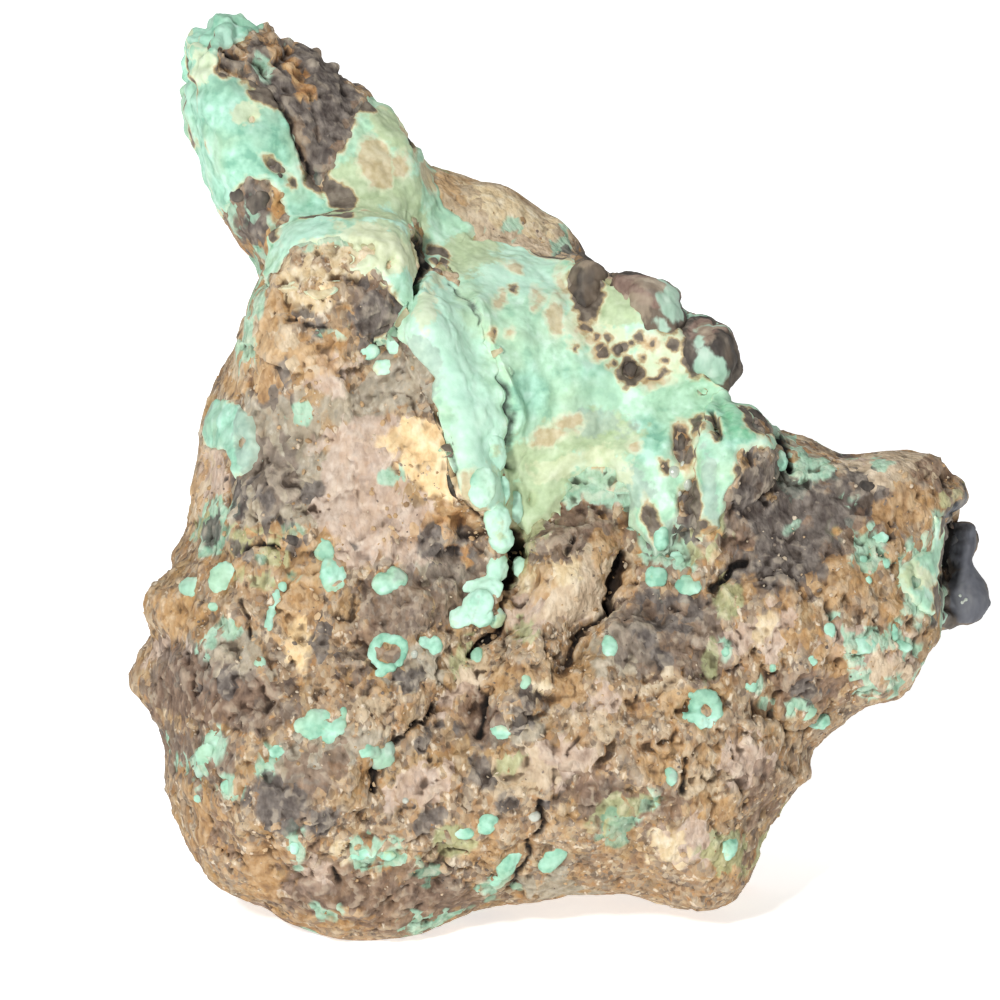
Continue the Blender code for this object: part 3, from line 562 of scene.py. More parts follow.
# Where each mineral stains the rock, and where painted shade darkens its lowest edge: ovals across and up the
# face.
STAINS = {
    "slate": [(97.2, 46.0, 2.8, 3.2, 0), (97.6, 40.2, 2.6, 3.2, 0)],
    "manganese": [
        (75.6, 52.2, 2.2, 2.6, 0), (75.2, 49.6, 2.0, 1.6, 0), (78.4, 44.8, 4.4, 3.0, 0),
        (83.0, 49.4, 4.0, 2.4, 15), (72.4, 64.6, 2.2, 3.0, 0), (84.6, 51.0, 2.6, 1.2, 15),
        (79.0, 49.6, 3.0, 1.6, 10), (27.0, 93.6, 2.6, 2.4, 0), (22.8, 93.4, 1.3, 1.0, 20),
        (27.5, 91.6, 4.0, 2.2, -35), (31.5, 91.0, 4.0, 3.6, -40), (32.4, 88.6, 2.8, 4.0, 28),
        (31.8, 83.6, 1.3, 3.0, 8), (29.6, 94.6, 2.6, 1.8, -30), (36.0, 90.6, 2.4, 1.6, -40),
        (25.4, 80.6, 1.8, 1.3, 0), (26.0, 77.6, 2.0, 2.8, 20), (33.8, 80.3, 2.1, 1.1, -45),
        (27.4, 83.4, 1.0, 0.5, -40), (29.0, 81.6, 0.6, 0.5, 0), (20.2, 84.6, 0.5, 0.8, 0),
        (19.0, 91.4, 0.4, 0.6, 0), (37.6, 68.8, 2.2, 2.8, -10), (31.6, 67.3, 1.2, 0.6, 0),
        (28.0, 62.3, 0.8, 1.4, 0), (43.8, 74.4, 0.8, 1.0, 0), (24.8, 50.2, 1.0, 1.6, 0),
        (27.6, 47.6, 1.6, 0.8, 0), (31.4, 51.0, 0.9, 0.7, 0), (58.4, 71.2, 1.6, 3.4, 5),
        (65.6, 70.4, 2.6, 2.2, -30), (66.6, 69.0, 1.4, 2.6, 10), (71.4, 65.6, 3.0, 2.6, 0),
        (72.6, 63.4, 1.8, 2.0, 0), (69.6, 64.6, 1.4, 2.2, 0), (60.5, 64.8, 0.5, 0.5, 0),
        (62.0, 65.0, 0.7, 0.6, 0), (63.2, 62.8, 1.1, 1.3, 0), (65.3, 62.4, 1.3, 0.45, 15),
        (65.0, 65.4, 0.5, 0.45, 0), (67.2, 65.2, 0.6, 0.6, 0), (58.5, 67.3, 0.45, 0.45, 0),
        (59.4, 66.6, 0.45, 0.4, 0), (61.0, 66.2, 0.4, 0.4, 0), (63.7, 66.2, 0.45, 0.4, 0),
        (61.4, 63.6, 0.4, 0.35, 0), (64.4, 64.2, 0.4, 0.35, 0), (66.4, 63.8, 0.4, 0.4, 0),
        (57.4, 65.6, 0.35, 0.4, 0), (62.9, 65.5, 0.4, 0.3, 0), (59.9, 65.4, 0.4, 0.35, 0),
        (51.2, 71.1, 0.4, 0.4, 0), (49.0, 66.8, 0.35, 0.4, 0), (68.2, 55.4, 0.9, 2.2, 8),
        (66.4, 53.2, 0.5, 0.6, 0), (71.4, 57.2, 0.5, 0.8, 0), (69.0, 49.6, 1.1, 2.2, -8),
        (69.7, 57.6, 0.8, 0.9, 0), (69.6, 47.2, 0.8, 0.5, 20), (76.0, 57.6, 1.6, 1.2, -35),
        (77.0, 47.6, 2.6, 2.6, 0), (86.4, 50.6, 2.4, 1.6, 20), (80.5, 46.4, 3.0, 1.8, 0),
        (77.5, 43.8, 2.6, 1.6, 0), (65.0, 48.0, 0.8, 1.8, 15), (80.5, 31.2, 1.8, 1.0, 0),
        (96.6, 45.6, 2.2, 4.2, 0), (96.6, 40.0, 3.4, 4.0, 0), (32.2, 35.1, 0.9, 1.9, 0),
        (27.8, 19.8, 2.2, 2.6, 0), (32.6, 18.1, 1.0, 1.0, 0), (43.4, 18.0, 1.8, 1.0, 0),
        (51.9, 28.3, 1.0, 1.2, 0), (29.4, 46.1, 1.0, 0.8, 0), (23.0, 32.1, 1.8, 1.2, 20),
        (53.6, 30.6, 0.6, 0.8, 0), (25.0, 45.8, 1.8, 0.8, 10), (21.0, 46.6, 1.0, 1.2, 0),
        (44.0, 45.6, 2.4, 1.8, 0), (27.2, 49.8, 1.0, 1.4, 0), (40.6, 31.4, 1.8, 0.8, 30),
        (47.8, 23.8, 0.8, 1.4, 20), (51.6, 20.0, 1.4, 0.7, 0), (64.6, 36.6, 1.0, 1.2, 0),
        (66.0, 34.4, 0.6, 0.6, 0), (67.2, 38.0, 0.9, 0.7, 0), (66.4, 39.8, 2.0, 0.9, 0),
        (73.6, 42.6, 1.2, 0.7, 20), (42.6, 26.4, 2.0, 0.7, 40), (35.6, 45.4, 0.8, 0.6, 0),
    ],
    # Purple-brown stains, and painted shade: the ovals lowest down, along the foot's edge, darken the stone
    # where it turns under.
    "purple": [
        (82.0, 48.0, 8.5, 4.6, 14), (76.5, 46.5, 4.0, 4.0, 0), (78.0, 43.4, 5.0, 3.4, 0),
        (66.0, 37.0, 5.4, 4.0, 0), (57.5, 46.5, 5.0, 2.6, 0), (66.0, 49.5, 1.6, 3.0, 15),
        (64.0, 70.5, 4.0, 2.6, -30), (45.4, 45.2, 2.6, 2.6, 0), (46.0, 42.0, 3.0, 3.4, 0),
        (18.5, 32.0, 4.0, 4.0, 0), (27.0, 52.0, 3.0, 4.0, 0), (45.5, 39.8, 2.0, 2.6, 0),
        (39.6, 40.0, 4.0, 3.4, 0), (75.0, 57.0, 2.4, 2.0, -30), (49.0, 27.6, 2.4, 2.6, 0),
        (60.0, 20.0, 3.4, 2.0, 0), (29.0, 20.0, 3.4, 3.0, 0), (44.0, 11.0, 4.0, 2.0, 0),
        (37.0, 33.4, 2.6, 2.0, 0), (73.6, 47.6, 3.0, 3.2, 0), (20.0, 24.4, 3.4, 3.0, 0),
        (33.6, 9.4, 3.6, 1.6, 0), (70.4, 34.0, 3.0, 2.4, 0), (24.4, 30.0, 4.6, 3.2, 0),
        (38.0, 69.4, 3.4, 4.0, 0), (31.0, 88.0, 6.0, 8.0, -30), (25.4, 78.6, 4.0, 4.4, 0),
        (27.0, 60.6, 1.6, 1.4, 0),
    ],
    "grey": [
        (28.0, 56.0, 4.2, 6.4, 10), (31.0, 51.6, 4.0, 4.0, 0), (39.2, 61.4, 4.6, 2.8, 15),
        (36.0, 58.6, 3.6, 2.0, 0), (42.0, 63.2, 2.0, 2.4, 0), (63.0, 35.6, 4.0, 3.0, 0),
        (41.8, 33.0, 3.0, 1.8, 0), (26.0, 49.6, 3.0, 3.0, 0), (87.6, 53.0, 4.6, 1.8, 0),
        (91.0, 51.4, 2.0, 1.6, 0), (66.0, 71.2, 2.0, 1.4, -30), (81.0, 53.6, 2.4, 2.0, -20),
        (70.6, 48.4, 0.8, 4.2, 0), (62.4, 51.8, 2.0, 1.6, 0), (35.0, 25.6, 3.0, 2.0, 0),
        (23.0, 34.0, 3.6, 3.0, 0), (59.2, 57.6, 2.8, 1.2, 0), (66.6, 45.2, 2.0, 2.4, 0),
        (61.6, 50.6, 2.6, 1.6, 0), (70.0, 47.0, 2.6, 2.0, 0), (29.6, 24.0, 3.0, 2.4, 0),
        (52.0, 27.0, 3.0, 1.6, 0), (44.6, 43.6, 3.2, 2.6, 0), (24.4, 67.6, 1.6, 3.0, 0),
        (55.4, 10.9, 3.0, 1.6, 0),
    ],
    "pink": [
        (87.6, 53.2, 4.0, 1.6, 0), (37.0, 55.6, 5.0, 3.2, 10), (36.0, 49.8, 4.6, 5.6, 0),
        (40.6, 46.8, 4.6, 3.0, 0), (57.4, 40.4, 3.4, 2.6, 30), (53.0, 39.0, 2.4, 2.6, 0),
        (77.2, 37.4, 2.2, 2.4, 0), (33.0, 62.6, 3.0, 1.6, 0), (72.6, 36.0, 2.4, 1.8, 0),
        (50.6, 76.6, 4.0, 2.0, -25), (20.6, 52.2, 2.2, 3.2, 0), (45.8, 31.0, 2.4, 1.2, 30),
        (68.6, 16.2, 2.2, 2.4, 0), (55.6, 24.0, 3.6, 2.2, 0), (42.0, 21.6, 3.0, 2.4, 0),
        (60.0, 29.6, 2.0, 1.6, 0), (74.4, 24.0, 2.6, 2.6, 0), (88.0, 33.6, 3.4, 2.2, 20),
        (84.0, 36.4, 1.8, 1.8, 0), (17.0, 34.6, 1.8, 1.6, 0), (31.0, 12.0, 2.6, 1.6, 0),
    ],
    "ochre": [
        (29.4, 92.8, 0.6, 1.8, 25), (27.8, 79.0, 0.7, 1.4, 0), (21.0, 77.6, 0.8, 2.0, 30),
        (24.4, 75.2, 1.6, 1.4, 0), (32.2, 71.3, 1.2, 1.2, 0), (28.6, 69.8, 1.8, 1.4, 0),
        (24.4, 61.6, 2.0, 1.4, 0), (31.6, 64.8, 3.4, 1.6, 15), (26.6, 64.6, 2.4, 2.6, 0),
        (45.0, 81.6, 2.0, 1.4, -25), (84.2, 41.8, 3.2, 2.2, 0), (89.5, 39.5, 1.6, 1.2, 0),
        (80.1, 36.3, 2.0, 1.2, 0), (83.5, 34.7, 1.8, 1.6, 0), (74.3, 42.1, 1.4, 1.6, 0),
        (60.6, 45.4, 1.2, 2.4, -15), (62.0, 43.0, 1.0, 2.0, 0), (28.2, 45.9, 3.4, 1.2, 5),
        (18.2, 38.5, 2.4, 1.8, 0), (30.0, 42.0, 2.6, 2.4, 0), (29.2, 38.4, 1.8, 2.0, 0),
        (31.0, 39.4, 1.4, 1.6, 0), (26.2, 13.0, 2.2, 2.8, 0), (27.6, 15.0, 2.0, 1.4, 0),
        (60.9, 16.6, 1.1, 1.1, 0), (54.0, 42.4, 2.6, 1.8, 0), (56.6, 31.6, 2.4, 1.4, 0),
        (67.4, 29.4, 2.4, 1.2, 0), (48.6, 14.6, 2.0, 1.4, 0), (47.0, 50.0, 1.6, 2.4, 0),
        (58.0, 17.6, 2.6, 1.0, 0), (69.6, 25.4, 2.8, 1.4, 0), (20.4, 18.4, 1.4, 2.4, 10),
        (66.0, 23.2, 2.0, 1.2, 0), (95.8, 50.2, 0.9, 1.4, 0), (90.0, 49.0, 3.6, 2.2, 0),
        (79.0, 40.0, 1.2, 1.0, 0), (88.4, 45.0, 1.6, 1.2, 0), (19.2, 50.4, 1.2, 2.4, 0),
        (38.6, 31.6, 1.4, 1.6, 0), (71.6, 19.0, 1.8, 1.4, 0), (34.0, 7.8, 2.4, 0.8, 0),
        (44.0, 48.0, 3.0, 0.9, 30), (50.4, 31.8, 1.6, 1.2, 0), (72.4, 13.8, 1.6, 1.4, 0),
        (23.4, 43.4, 1.6, 0.8, 10), (37.6, 83.6, 1.6, 2.6, 8), (40.2, 83.4, 1.0, 1.2, 0),
        (50.1, 70.1, 0.6, 0.8, 0), (53.7, 70.1, 0.5, 0.9, 0), (55.4, 68.4, 0.6, 1.6, 0),
        (51.5, 73.1, 0.6, 0.5, 0), (50.8, 66.9, 0.4, 0.5, 0), (58.5, 67.3, 0.8, 0.8, 0),
        (59.3, 66.5, 0.8, 0.7, 0), (60.0, 65.0, 0.9, 0.9, 0), (54.8, 56.4, 2.0, 1.0, 10),
        (57.2, 57.6, 1.2, 0.8, 0), (63.4, 55.2, 0.6, 0.5, 0), (68.4, 56.6, 0.6, 1.0, 0),
        (65.0, 65.6, 0.9, 0.7, 0), (48.9, 66.7, 0.4, 0.5, 0), (56.0, 71.6, 0.5, 1.2, 10),
        (65.6, 62.0, 1.6, 0.5, 15), (68.8, 53.4, 0.5, 0.6, 0),
    ],
    "clay": [
        (50.2, 79.8, 9.2, 4.6, -28), (57.0, 75.8, 3.0, 1.6, -40), (23.0, 66.0, 2.6, 4.6, 10),
        (88.0, 52.8, 5.0, 1.8, 0), (58.0, 41.4, 4.6, 3.2, 30), (26.0, 66.8, 1.6, 2.4, 0),
        (60.4, 27.4, 2.4, 1.6, 0), (63.4, 69.2, 1.6, 1.4, -30), (65.6, 71.6, 2.4, 0.8, -20),
        (70.4, 66.8, 1.2, 1.2, 0), (28.6, 64.4, 2.4, 3.0, 0), (44.8, 72.0, 0.8, 0.8, 0),
        (52.0, 23.0, 3.0, 2.2, 0), (66.4, 31.2, 1.8, 1.2, 0), (88.6, 33.4, 2.6, 1.8, 30),
        (19.4, 50.0, 1.8, 3.2, 0), (69.6, 22.0, 1.6, 1.4, 0), (47.0, 33.6, 2.0, 1.4, 0),
        (38.0, 29.4, 2.0, 1.4, 0),
    ],
    # Umber stains, and painted shade: the long ovals lowest down, about 9 to 14 mm up, darken the stone where
    # it turns under.
    "umber": [
        (93.2, 52.6, 2.8, 2.0, 0), (94.6, 50.8, 1.0, 1.8, 0), (63.4, 71.8, 2.4, 1.8, -30),
        (39.5, 9.4, 7.0, 2.4, 0), (36.0, 11.0, 8.0, 2.6, 0), (46.5, 9.8, 2.6, 1.6, 0),
        (23.6, 30.6, 3.4, 2.6, 0), (18.6, 31.0, 2.6, 3.4, 0), (33.0, 24.0, 2.6, 1.6, 0),
        (86.5, 48.0, 3.4, 2.6, 0), (61.5, 47.0, 2.0, 1.6, 0), (56.0, 48.0, 3.4, 1.6, 0),
        (72.6, 44.6, 2.2, 1.4, 0), (79.6, 31.4, 2.4, 1.6, 0), (76.4, 19.4, 1.4, 3.0, 0),
        (57.6, 21.6, 2.6, 1.4, 0), (64.6, 19.6, 3.6, 1.6, 0), (21.6, 17.4, 2.0, 2.4, 0),
        (47.6, 29.4, 1.4, 2.4, 0), (25.2, 61.8, 1.8, 1.2, 0), (37.0, 36.6, 1.6, 1.2, 0),
        (66.4, 43.6, 2.4, 1.4, 0), (82.6, 31.6, 2.0, 1.4, 0), (64.4, 71.4, 3.4, 1.6, -25),
        (70.4, 67.0, 1.6, 1.2, 0), (28.0, 14.0, 4.0, 2.0, 0), (34.4, 12.6, 2.6, 1.2, 0),
    ],
    "limonite": [
        (32.2, 71.4, 0.9, 1.0, 0), (43.6, 54.0, 3.8, 3.2, 0), (40.6, 56.6, 2.4, 1.4, 20),
        (45.4, 51.6, 1.8, 1.6, 0), (30.0, 35.6, 1.4, 2.2, 0),
    ],
    "cream": [
        (51.2, 79.4, 5.0, 1.8, -28), (37.4, 74.6, 3.2, 2.4, 0), (33.4, 74.8, 3.4, 1.8, 15),
        (31.0, 72.8, 2.6, 1.4, 15), (25.9, 93.2, 0.9, 0.8, 0), (60.6, 66.2, 2.6, 1.2, -10),
        (65.6, 64.2, 1.8, 1.6, -10), (58.4, 68.0, 1.4, 1.6, 0), (68.0, 65.4, 1.0, 1.4, 0),
        (57.2, 53.6, 3.2, 1.0, 15), (61.0, 53.4, 1.8, 1.0, 0), (70.4, 44.6, 1.0, 0.8, 0),
        (78.6, 52.4, 1.6, 0.8, -20), (60.4, 52.2, 2.0, 1.2, 0), (42.6, 70.0, 0.8, 2.0, 0),
        (25.0, 88.4, 1.0, 0.8, 0), (20.0, 93.6, 0.8, 1.2, 0), (66.7, 15.3, 1.6, 2.0, 10),
        (93.0, 42.2, 0.8, 0.6, 0), (54.0, 30.8, 0.9, 0.9, 0), (76.4, 37.4, 1.0, 1.2, 0),
        (31.0, 69.4, 1.6, 1.2, 0), (34.0, 15.2, 1.2, 1.0, 0), (29.6, 71.6, 1.0, 1.6, 0),
        (56.6, 42.8, 1.4, 1.6, 0), (52.4, 41.6, 0.8, 1.2, 0),
    ],
    "pale": [
        (43.6, 69.2, 2.2, 4.0, 15), (45.8, 63.6, 2.4, 4.6, 15), (47.6, 57.6, 2.0, 4.6, 12),
        (48.8, 52.0, 1.6, 3.4, 8), (51.0, 72.6, 4.0, 2.0, 0), (30.4, 76.6, 3.6, 1.2, 25),
        (39.6, 77.4, 2.0, 1.4, 0),
    ],
    "olive": [
        (53.6, 49.8, 2.6, 3.6, -20), (51.6, 45.4, 1.2, 2.6, 0), (58.8, 56.4, 4.0, 1.8, 5),
        (46.8, 74.6, 2.4, 1.8, 0), (91.4, 42.3, 0.9, 0.9, 0), (95.8, 50.4, 0.7, 1.2, 0),
        (71.2, 46.8, 1.2, 1.4, 0), (69.0, 44.8, 1.6, 1.4, 0), (24.4, 46.1, 1.6, 0.9, 20),
        (26.6, 44.6, 1.6, 1.0, 0), (21.0, 47.0, 1.2, 1.6, 0), (52.4, 36.8, 1.6, 1.2, 0),
        (45.2, 15.8, 1.4, 1.2, 0), (72.8, 40.6, 0.8, 1.8, 0), (61.4, 18.4, 3.6, 1.4, 25),
        (72.6, 15.2, 2.2, 2.0, 0), (70.8, 33.2, 1.0, 1.6, 0), (38.6, 87.6, 1.4, 2.6, 25),
        (77.4, 17.4, 1.0, 2.0, 0), (46.4, 34.6, 0.8, 2.0, 0), (51.0, 24.6, 1.2, 0.9, 0),
        (83.6, 46.9, 0.8, 0.7, 0), (26.2, 42.4, 1.4, 0.8, 0), (61.6, 69.4, 2.6, 2.4, 0),
        (36.4, 81.4, 3.4, 2.6, 0), (40.6, 81.0, 1.6, 4.0, 10), (54.0, 53.4, 3.6, 2.6, 0),
        (60.4, 55.8, 3.0, 2.0, 0), (38.6, 75.4, 3.0, 2.2, 0),
    ],
    "aqua": [
        (64.5, 56.0, 2.2, 2.4, 0), (59.4, 62.8, 3.0, 1.3, 0), (70.6, 52.0, 1.0, 4.6, 0),
        (73.6, 57.4, 2.4, 2.4, -30), (52.8, 60.6, 1.8, 2.6, 0), (22.6, 86.0, 7.0, 13.0, 20),
        (30.0, 77.0, 5.0, 1.6, 25), (40.4, 74.6, 1.2, 4.0, 0), (22.6, 57.0, 4.0, 4.0, 0),
        (56.4, 53.4, 1.6, 1.2, 0), (46.8, 58.0, 1.2, 4.0, 15),
    ],
    "malachite": [
        (59.4, 51.6, 3.6, 1.7, 0), (62.6, 50.8, 2.4, 1.8, 0), (65.0, 48.0, 1.7, 3.6, 12),
        (56.6, 50.4, 1.8, 1.6, 0), (67.6, 69.9, 1.6, 1.9, -10), (66.0, 67.4, 0.7, 1.0, 0),
        (71.4, 63.4, 1.0, 0.9, 0), (70.0, 65.6, 0.6, 0.9, 0), (81.4, 52.8, 1.6, 1.2, 0),
        (34.6, 76.6, 3.0, 0.8, 10), (30.4, 75.4, 1.4, 0.7, 30), (37.8, 73.4, 0.7, 0.5, 0),
        (20.9, 24.8, 1.0, 2.6, -25), (20.0, 22.9, 1.0, 1.0, 0), (22.8, 21.5, 1.0, 0.8, 0),
        (64.8, 19.8, 1.0, 0.5, 30), (87.0, 46.2, 1.3, 1.1, 0), (86.3, 44.1, 0.9, 0.6, 0),
        (88.8, 43.6, 0.6, 0.6, 0), (92.0, 41.8, 2.0, 3.6, 0), (93.8, 45.4, 0.9, 2.4, 0),
        (86.0, 35.6, 1.8, 1.4, 0), (90.0, 36.2, 0.8, 1.4, 20), (90.8, 35.0, 1.3, 0.6, -20),
        (81.0, 34.1, 0.6, 0.6, 0), (82.9, 37.1, 0.7, 0.8, 0), (72.4, 35.0, 0.5, 0.6, 0),
        (20.9, 45.8, 1.8, 1.0, 10), (22.0, 49.1, 1.1, 0.8, 0), (23.6, 37.2, 1.2, 1.0, 0),
        (21.0, 35.4, 1.0, 1.0, 0), (37.0, 15.0, 2.0, 1.2, 10), (38.8, 14.6, 1.2, 0.9, 0),
        (29.4, 15.6, 0.8, 1.4, 0), (42.6, 7.6, 1.4, 0.9, 0), (39.0, 52.2, 0.7, 0.9, 0),
        (32.6, 9.2, 1.0, 0.7, 0), (79.6, 29.6, 1.6, 0.6, 0), (86.6, 31.6, 1.0, 1.0, 0),
        (80.6, 53.8, 2.2, 1.6, -10), (87.8, 53.8, 0.8, 0.5, 0), (79.2, 51.8, 1.4, 1.4, 0),
        (66.0, 46.4, 1.2, 4.4, 8), (68.4, 43.8, 0.8, 1.8, 0), (26.8, 23.4, 1.0, 1.2, 0),
        (30.2, 58.8, 0.8, 0.6, 0), (62.4, 57.0, 2.4, 2.0, 0), (85.4, 47.0, 0.6, 0.5, 0),
        (25.6, 71.4, 1.6, 3.4, -10), (50.6, 77.4, 1.0, 1.0, 0), (57.0, 75.4, 1.4, 1.2, -40),
        (24.6, 66.2, 0.9, 2.4, 0), (75.3, 31.8, 0.6, 0.5, 0), (89.0, 31.8, 1.6, 0.7, 25),
        (49.4, 11.4, 1.6, 0.9, 30), (71.0, 62.6, 1.6, 1.4, 0), (26.2, 93.2, 1.0, 0.8, 0),
        (31.0, 80.0, 1.4, 2.0, 0), (70.6, 64.0, 1.0, 1.6, 0), (51.8, 52.2, 1.0, 2.0, 0),
    ],
    "verdigris": [
        (26.3, 93.2, 0.9, 1.2, 30), (25.0, 79.0, 0.5, 0.9, 0), (27.8, 77.0, 0.5, 0.9, 0),
        (23.4, 79.0, 0.5, 1.0, 20), (64.2, 49.6, 0.6, 1.2, 0), (33.6, 66.6, 0.8, 0.4, 0),
        (85.0, 50.4, 0.7, 0.4, 0), (79.0, 47.2, 0.5, 0.4, 0),
    ],
    "rust": [
        (29.2, 93.0, 0.5, 2.0, 22), (30.3, 91.6, 0.35, 1.4, 22), (27.6, 94.6, 0.4, 0.8, 0),
        (27.6, 79.2, 0.5, 1.2, 0), (22.8, 77.2, 0.6, 1.8, 30), (24.2, 75.2, 0.9, 0.8, 0),
        (26.4, 76.0, 0.5, 1.0, 0), (45.6, 48.2, 1.6, 0.8, 20), (45.0, 46.4, 0.4, 0.9, 0),
        (46.6, 45.2, 0.4, 0.9, 0), (43.6, 47.2, 0.4, 0.8, 0), (25.6, 47.0, 1.0, 0.6, 0),
        (71.2, 46.6, 0.7, 0.6, 0), (83.6, 46.9, 0.6, 0.5, 0),
    ],
    "deep_green": [
        (25.4, 74.0, 1.0, 1.2, 0), (20.7, 47.0, 1.0, 1.0, 0), (26.9, 44.3, 0.8, 0.7, 0),
        (21.0, 46.8, 1.5, 1.1, 0), (29.2, 46.6, 0.9, 0.6, 0), (43.0, 13.0, 1.4, 1.0, 0),
        (27.8, 25.0, 0.9, 0.9, 0), (29.4, 42.6, 0.8, 0.7, 0), (48.0, 8.9, 1.0, 0.7, 0),
        (61.8, 17.4, 1.6, 1.2, 30), (73.8, 57.8, 2.2, 2.0, -30),
    ],
}
# How much of the back each mineral reaches: the share of waves that stand above the level.
BACK_LEVELS = {
    "slate": 2.0, "manganese": 0.42, "purple": 0.2, "grey": 0.15, "pink": 0.3, "ochre": 0.2, "clay": 0.15,
    "umber": 0.1, "limonite": 0.9, "cream": 0.65, "olive": 0.5, "pale": 0.6, "aqua": 0.0, "malachite": 0.5,
    "verdigris": 0.9, "rust": 0.6, "deep_green": 0.75,
}
# How far the patches wander round the stone's sides, in millimetres, so that none runs straight back.
SIDE_WANDER = 8.0
# The face's own stains end where the skin turns this far from the viewer.
BEHIND = -0.45


def set_stains(mesh):
    """Gives each vertex its depth in every mineral's patches. Away from the show face, noise places them."""
    places = read(mesh)
    facing = read(mesh, "normal")[:, 2]
    face = (places[:, 2] > FACE_BACK + 3.0 * ripple(places, 5.0, 29)) & (facing > BEHIND)
    wander = SIDE_WANDER * smoothstep(0.45, 0.05, eased(mesh, facing, 30))
    spots = places.copy()
    spots[:, 0] += wander * ripple(places, 9.0, 27)
    spots[:, 1] += wander * ripple(places, 9.0, 28)
    for seed, (mineral, patches) in enumerate(STAINS.items()):
        behind = ripple(places, 13.0, 80 + seed) + 0.4 * ripple(places, 4.0, 90 + seed)
        behind = 8.0 * (behind - BACK_LEVELS[mineral])
        set_field(mesh, mineral, np.where(face, patch_depth(spots, patches, seed=30 + 4 * seed), behind))
    # How deep each vertex lies in a hollow, fine and deep, for the materials' painted shade and highlight.
    set_field(mesh, "hollow", hollows(mesh, 6))
    set_field(mesh, "deep_hollow", hollows(mesh, 50))


set_stains(rock.data)
set_field(rock.data, "crack", crack_depth)


def add_node(tree, kind, inputs=None, tones=(), **settings):
    """Adds one node with its settings and links.

    inputs maps a socket's name or number to a value, to the output that is linked to it, or to the name of
    the mesh's own field. tones are a colour ramp's stops, spaced evenly over the middle, where a noise lies.
    """
    node = tree.nodes.new(kind)
    for name, value in settings.items():
        setattr(node, name, value)
    for key, value in (inputs or {}).items():
        socket = node.inputs[key]
        if isinstance(value, str) and socket.type != "STRING":
            field = tree.nodes.new("ShaderNodeAttribute")
            field.attribute_name = value
            value = field.outputs["Fac"]
        if isinstance(value, bpy.types.NodeSocket):
            tree.links.new(value, socket)
        else:
            socket.default_value = value
    for number, tone in enumerate(tones):
        stops = node.color_ramp.elements
        position = 0.3 + 0.4 * number / (len(tones) - 1)
        stop = stops[number] if number < 2 else stops.new(position)
        stop.position = position
        stop.color = linear(tone)
    return node


# How far a stain's rim wavers with the coarse noise and with the fine one, in millimetres.
COARSE_WAVER, FINE_WAVER = 3.0, 1.6


class Mottle:
    """The soft noises and grains that all the stains of one material share, so that the shader stays quick.

    waves gives each noise's name and the size of its waves in millimetres; each has three parts, from 0 to 1.
    """

    def __init__(self, tree, where, waves, grain_sizes=()):
        self.tree = tree
        self.parts = {}
        for number, (name, wave) in enumerate(waves.items()):
            # Each noise is taken from a place of its own, some millimetres away from the others.
            shift = 0.011 + 0.013 * number
            moved = {0: where, 1: (shift, 0.7 * shift, -shift)}
            moved = add_node(tree, "ShaderNodeVectorMath", moved, operation="ADD")
            soft = {"Vector": moved.outputs[0], "Scale": 1.0 / (wave * MM), "Detail": 2.5}
            soft = add_node(tree, "ShaderNodeTexNoise", soft).outputs["Color"]
            self.parts[name] = add_node(tree, "ShaderNodeSeparateColor", {"Color": soft}).outputs
        self.grains = []
        self.ragged = self.parts["fine"]
        for size in grain_sizes:
            waver = {"X": self.ragged[0], "Y": self.ragged[1], "Z": self.ragged[2]}
            waver = add_node(tree, "ShaderNodeCombineXYZ", waver)
            # The grains' edges waver by up to 0.3 mm.
            bent = {0: waver.outputs[0], 1: (0.0003, 0.0003, 0.0003), 2: where}
            bent = add_node(tree, "ShaderNodeVectorMath", bent, operation="MULTIPLY_ADD")
            cells = {"Vector": bent.outputs[0], "Scale": 1.0 / (size * MM)}
            cells = add_node(tree, "ShaderNodeTexVoronoi", cells)
            own = add_node(tree, "ShaderNodeSeparateColor", {"Color": cells.outputs["Color"]})
            self.grains.append((own.outputs, cells.outputs["Distance"]))
        if self.grains:
            self.ragged = self.grains[0][0]

    def stain(self, under, name, tones, ragged=1.0, strength=1.0, reach=0.0, soft=0.25):
        """Lays a mineral over the colour under it. reach widens its rim and soft blurs it, in millimetres."""
        # Each noise has three parts, and the minerals take different ones.
        turn = len(name) % 3
        depth = {0: self.parts["coarse"][turn], 1: COARSE_WAVER * ragged, 2: name}
        depth = add_node(self.tree, "ShaderNodeMath", depth, operation="MULTIPLY_ADD")
        depth = {0: self.ragged[2 - turn], 1: FINE_WAVER * ragged, 2: depth.outputs[0]}
        depth = add_node(self.tree, "ShaderNodeMath", depth, operation="MULTIPLY_ADD")
        # Both noises have their middle at a half.
        rim = 0.5 * (COARSE_WAVER + FINE_WAVER) * ragged - reach
        inside = {"Value": depth.outputs[0], "From Min": rim - soft, "From Max": rim + soft}
        inside["To Max"] = strength
        inside = add_node(self.tree, "ShaderNodeMapRange", inside, interpolation_type="SMOOTHSTEP")
        over = add_node(self.tree, "ShaderNodeValToRGB", {"Fac": self.parts["tone"][turn]}, tones=tones)
        mixed = {"Factor": inside.outputs["Result"], 6: under, 7: over.outputs["Color"]}
        return add_node(self.tree, "ShaderNodeMix", mixed, data_type="RGBA").outputs[2]

    def veil(self, under, name, part, low, high, tone, strength, blend="MIX"):
        """Tints the colour where a part of a noise, or a field of the mesh, passes from low to high."""
        value = name if part is None else self.parts[name][part]
        share = {"Value": value, "From Min": low, "From Max": high, "To Max": strength}
        share = add_node(self.tree, "ShaderNodeMapRange", share, interpolation_type="SMOOTHSTEP")
        mixed = {"Factor": share.outputs["Result"], 6: under, 7: linear(tone)}
        return add_node(self.tree, "ShaderNodeMix", mixed, data_type="RGBA", blend_type=blend).outputs[2]


def mineral_material(name):
    """A material with its Principled shader and the piece's own coordinates, in metres."""
    material = bpy.data.materials.new(name)
    material.use_nodes = True
    tree = material.node_tree
    where = add_node(tree, "ShaderNodeTexCoord").outputs["Object"]
    return material, tree, where, tree.nodes["Principled BSDF"]
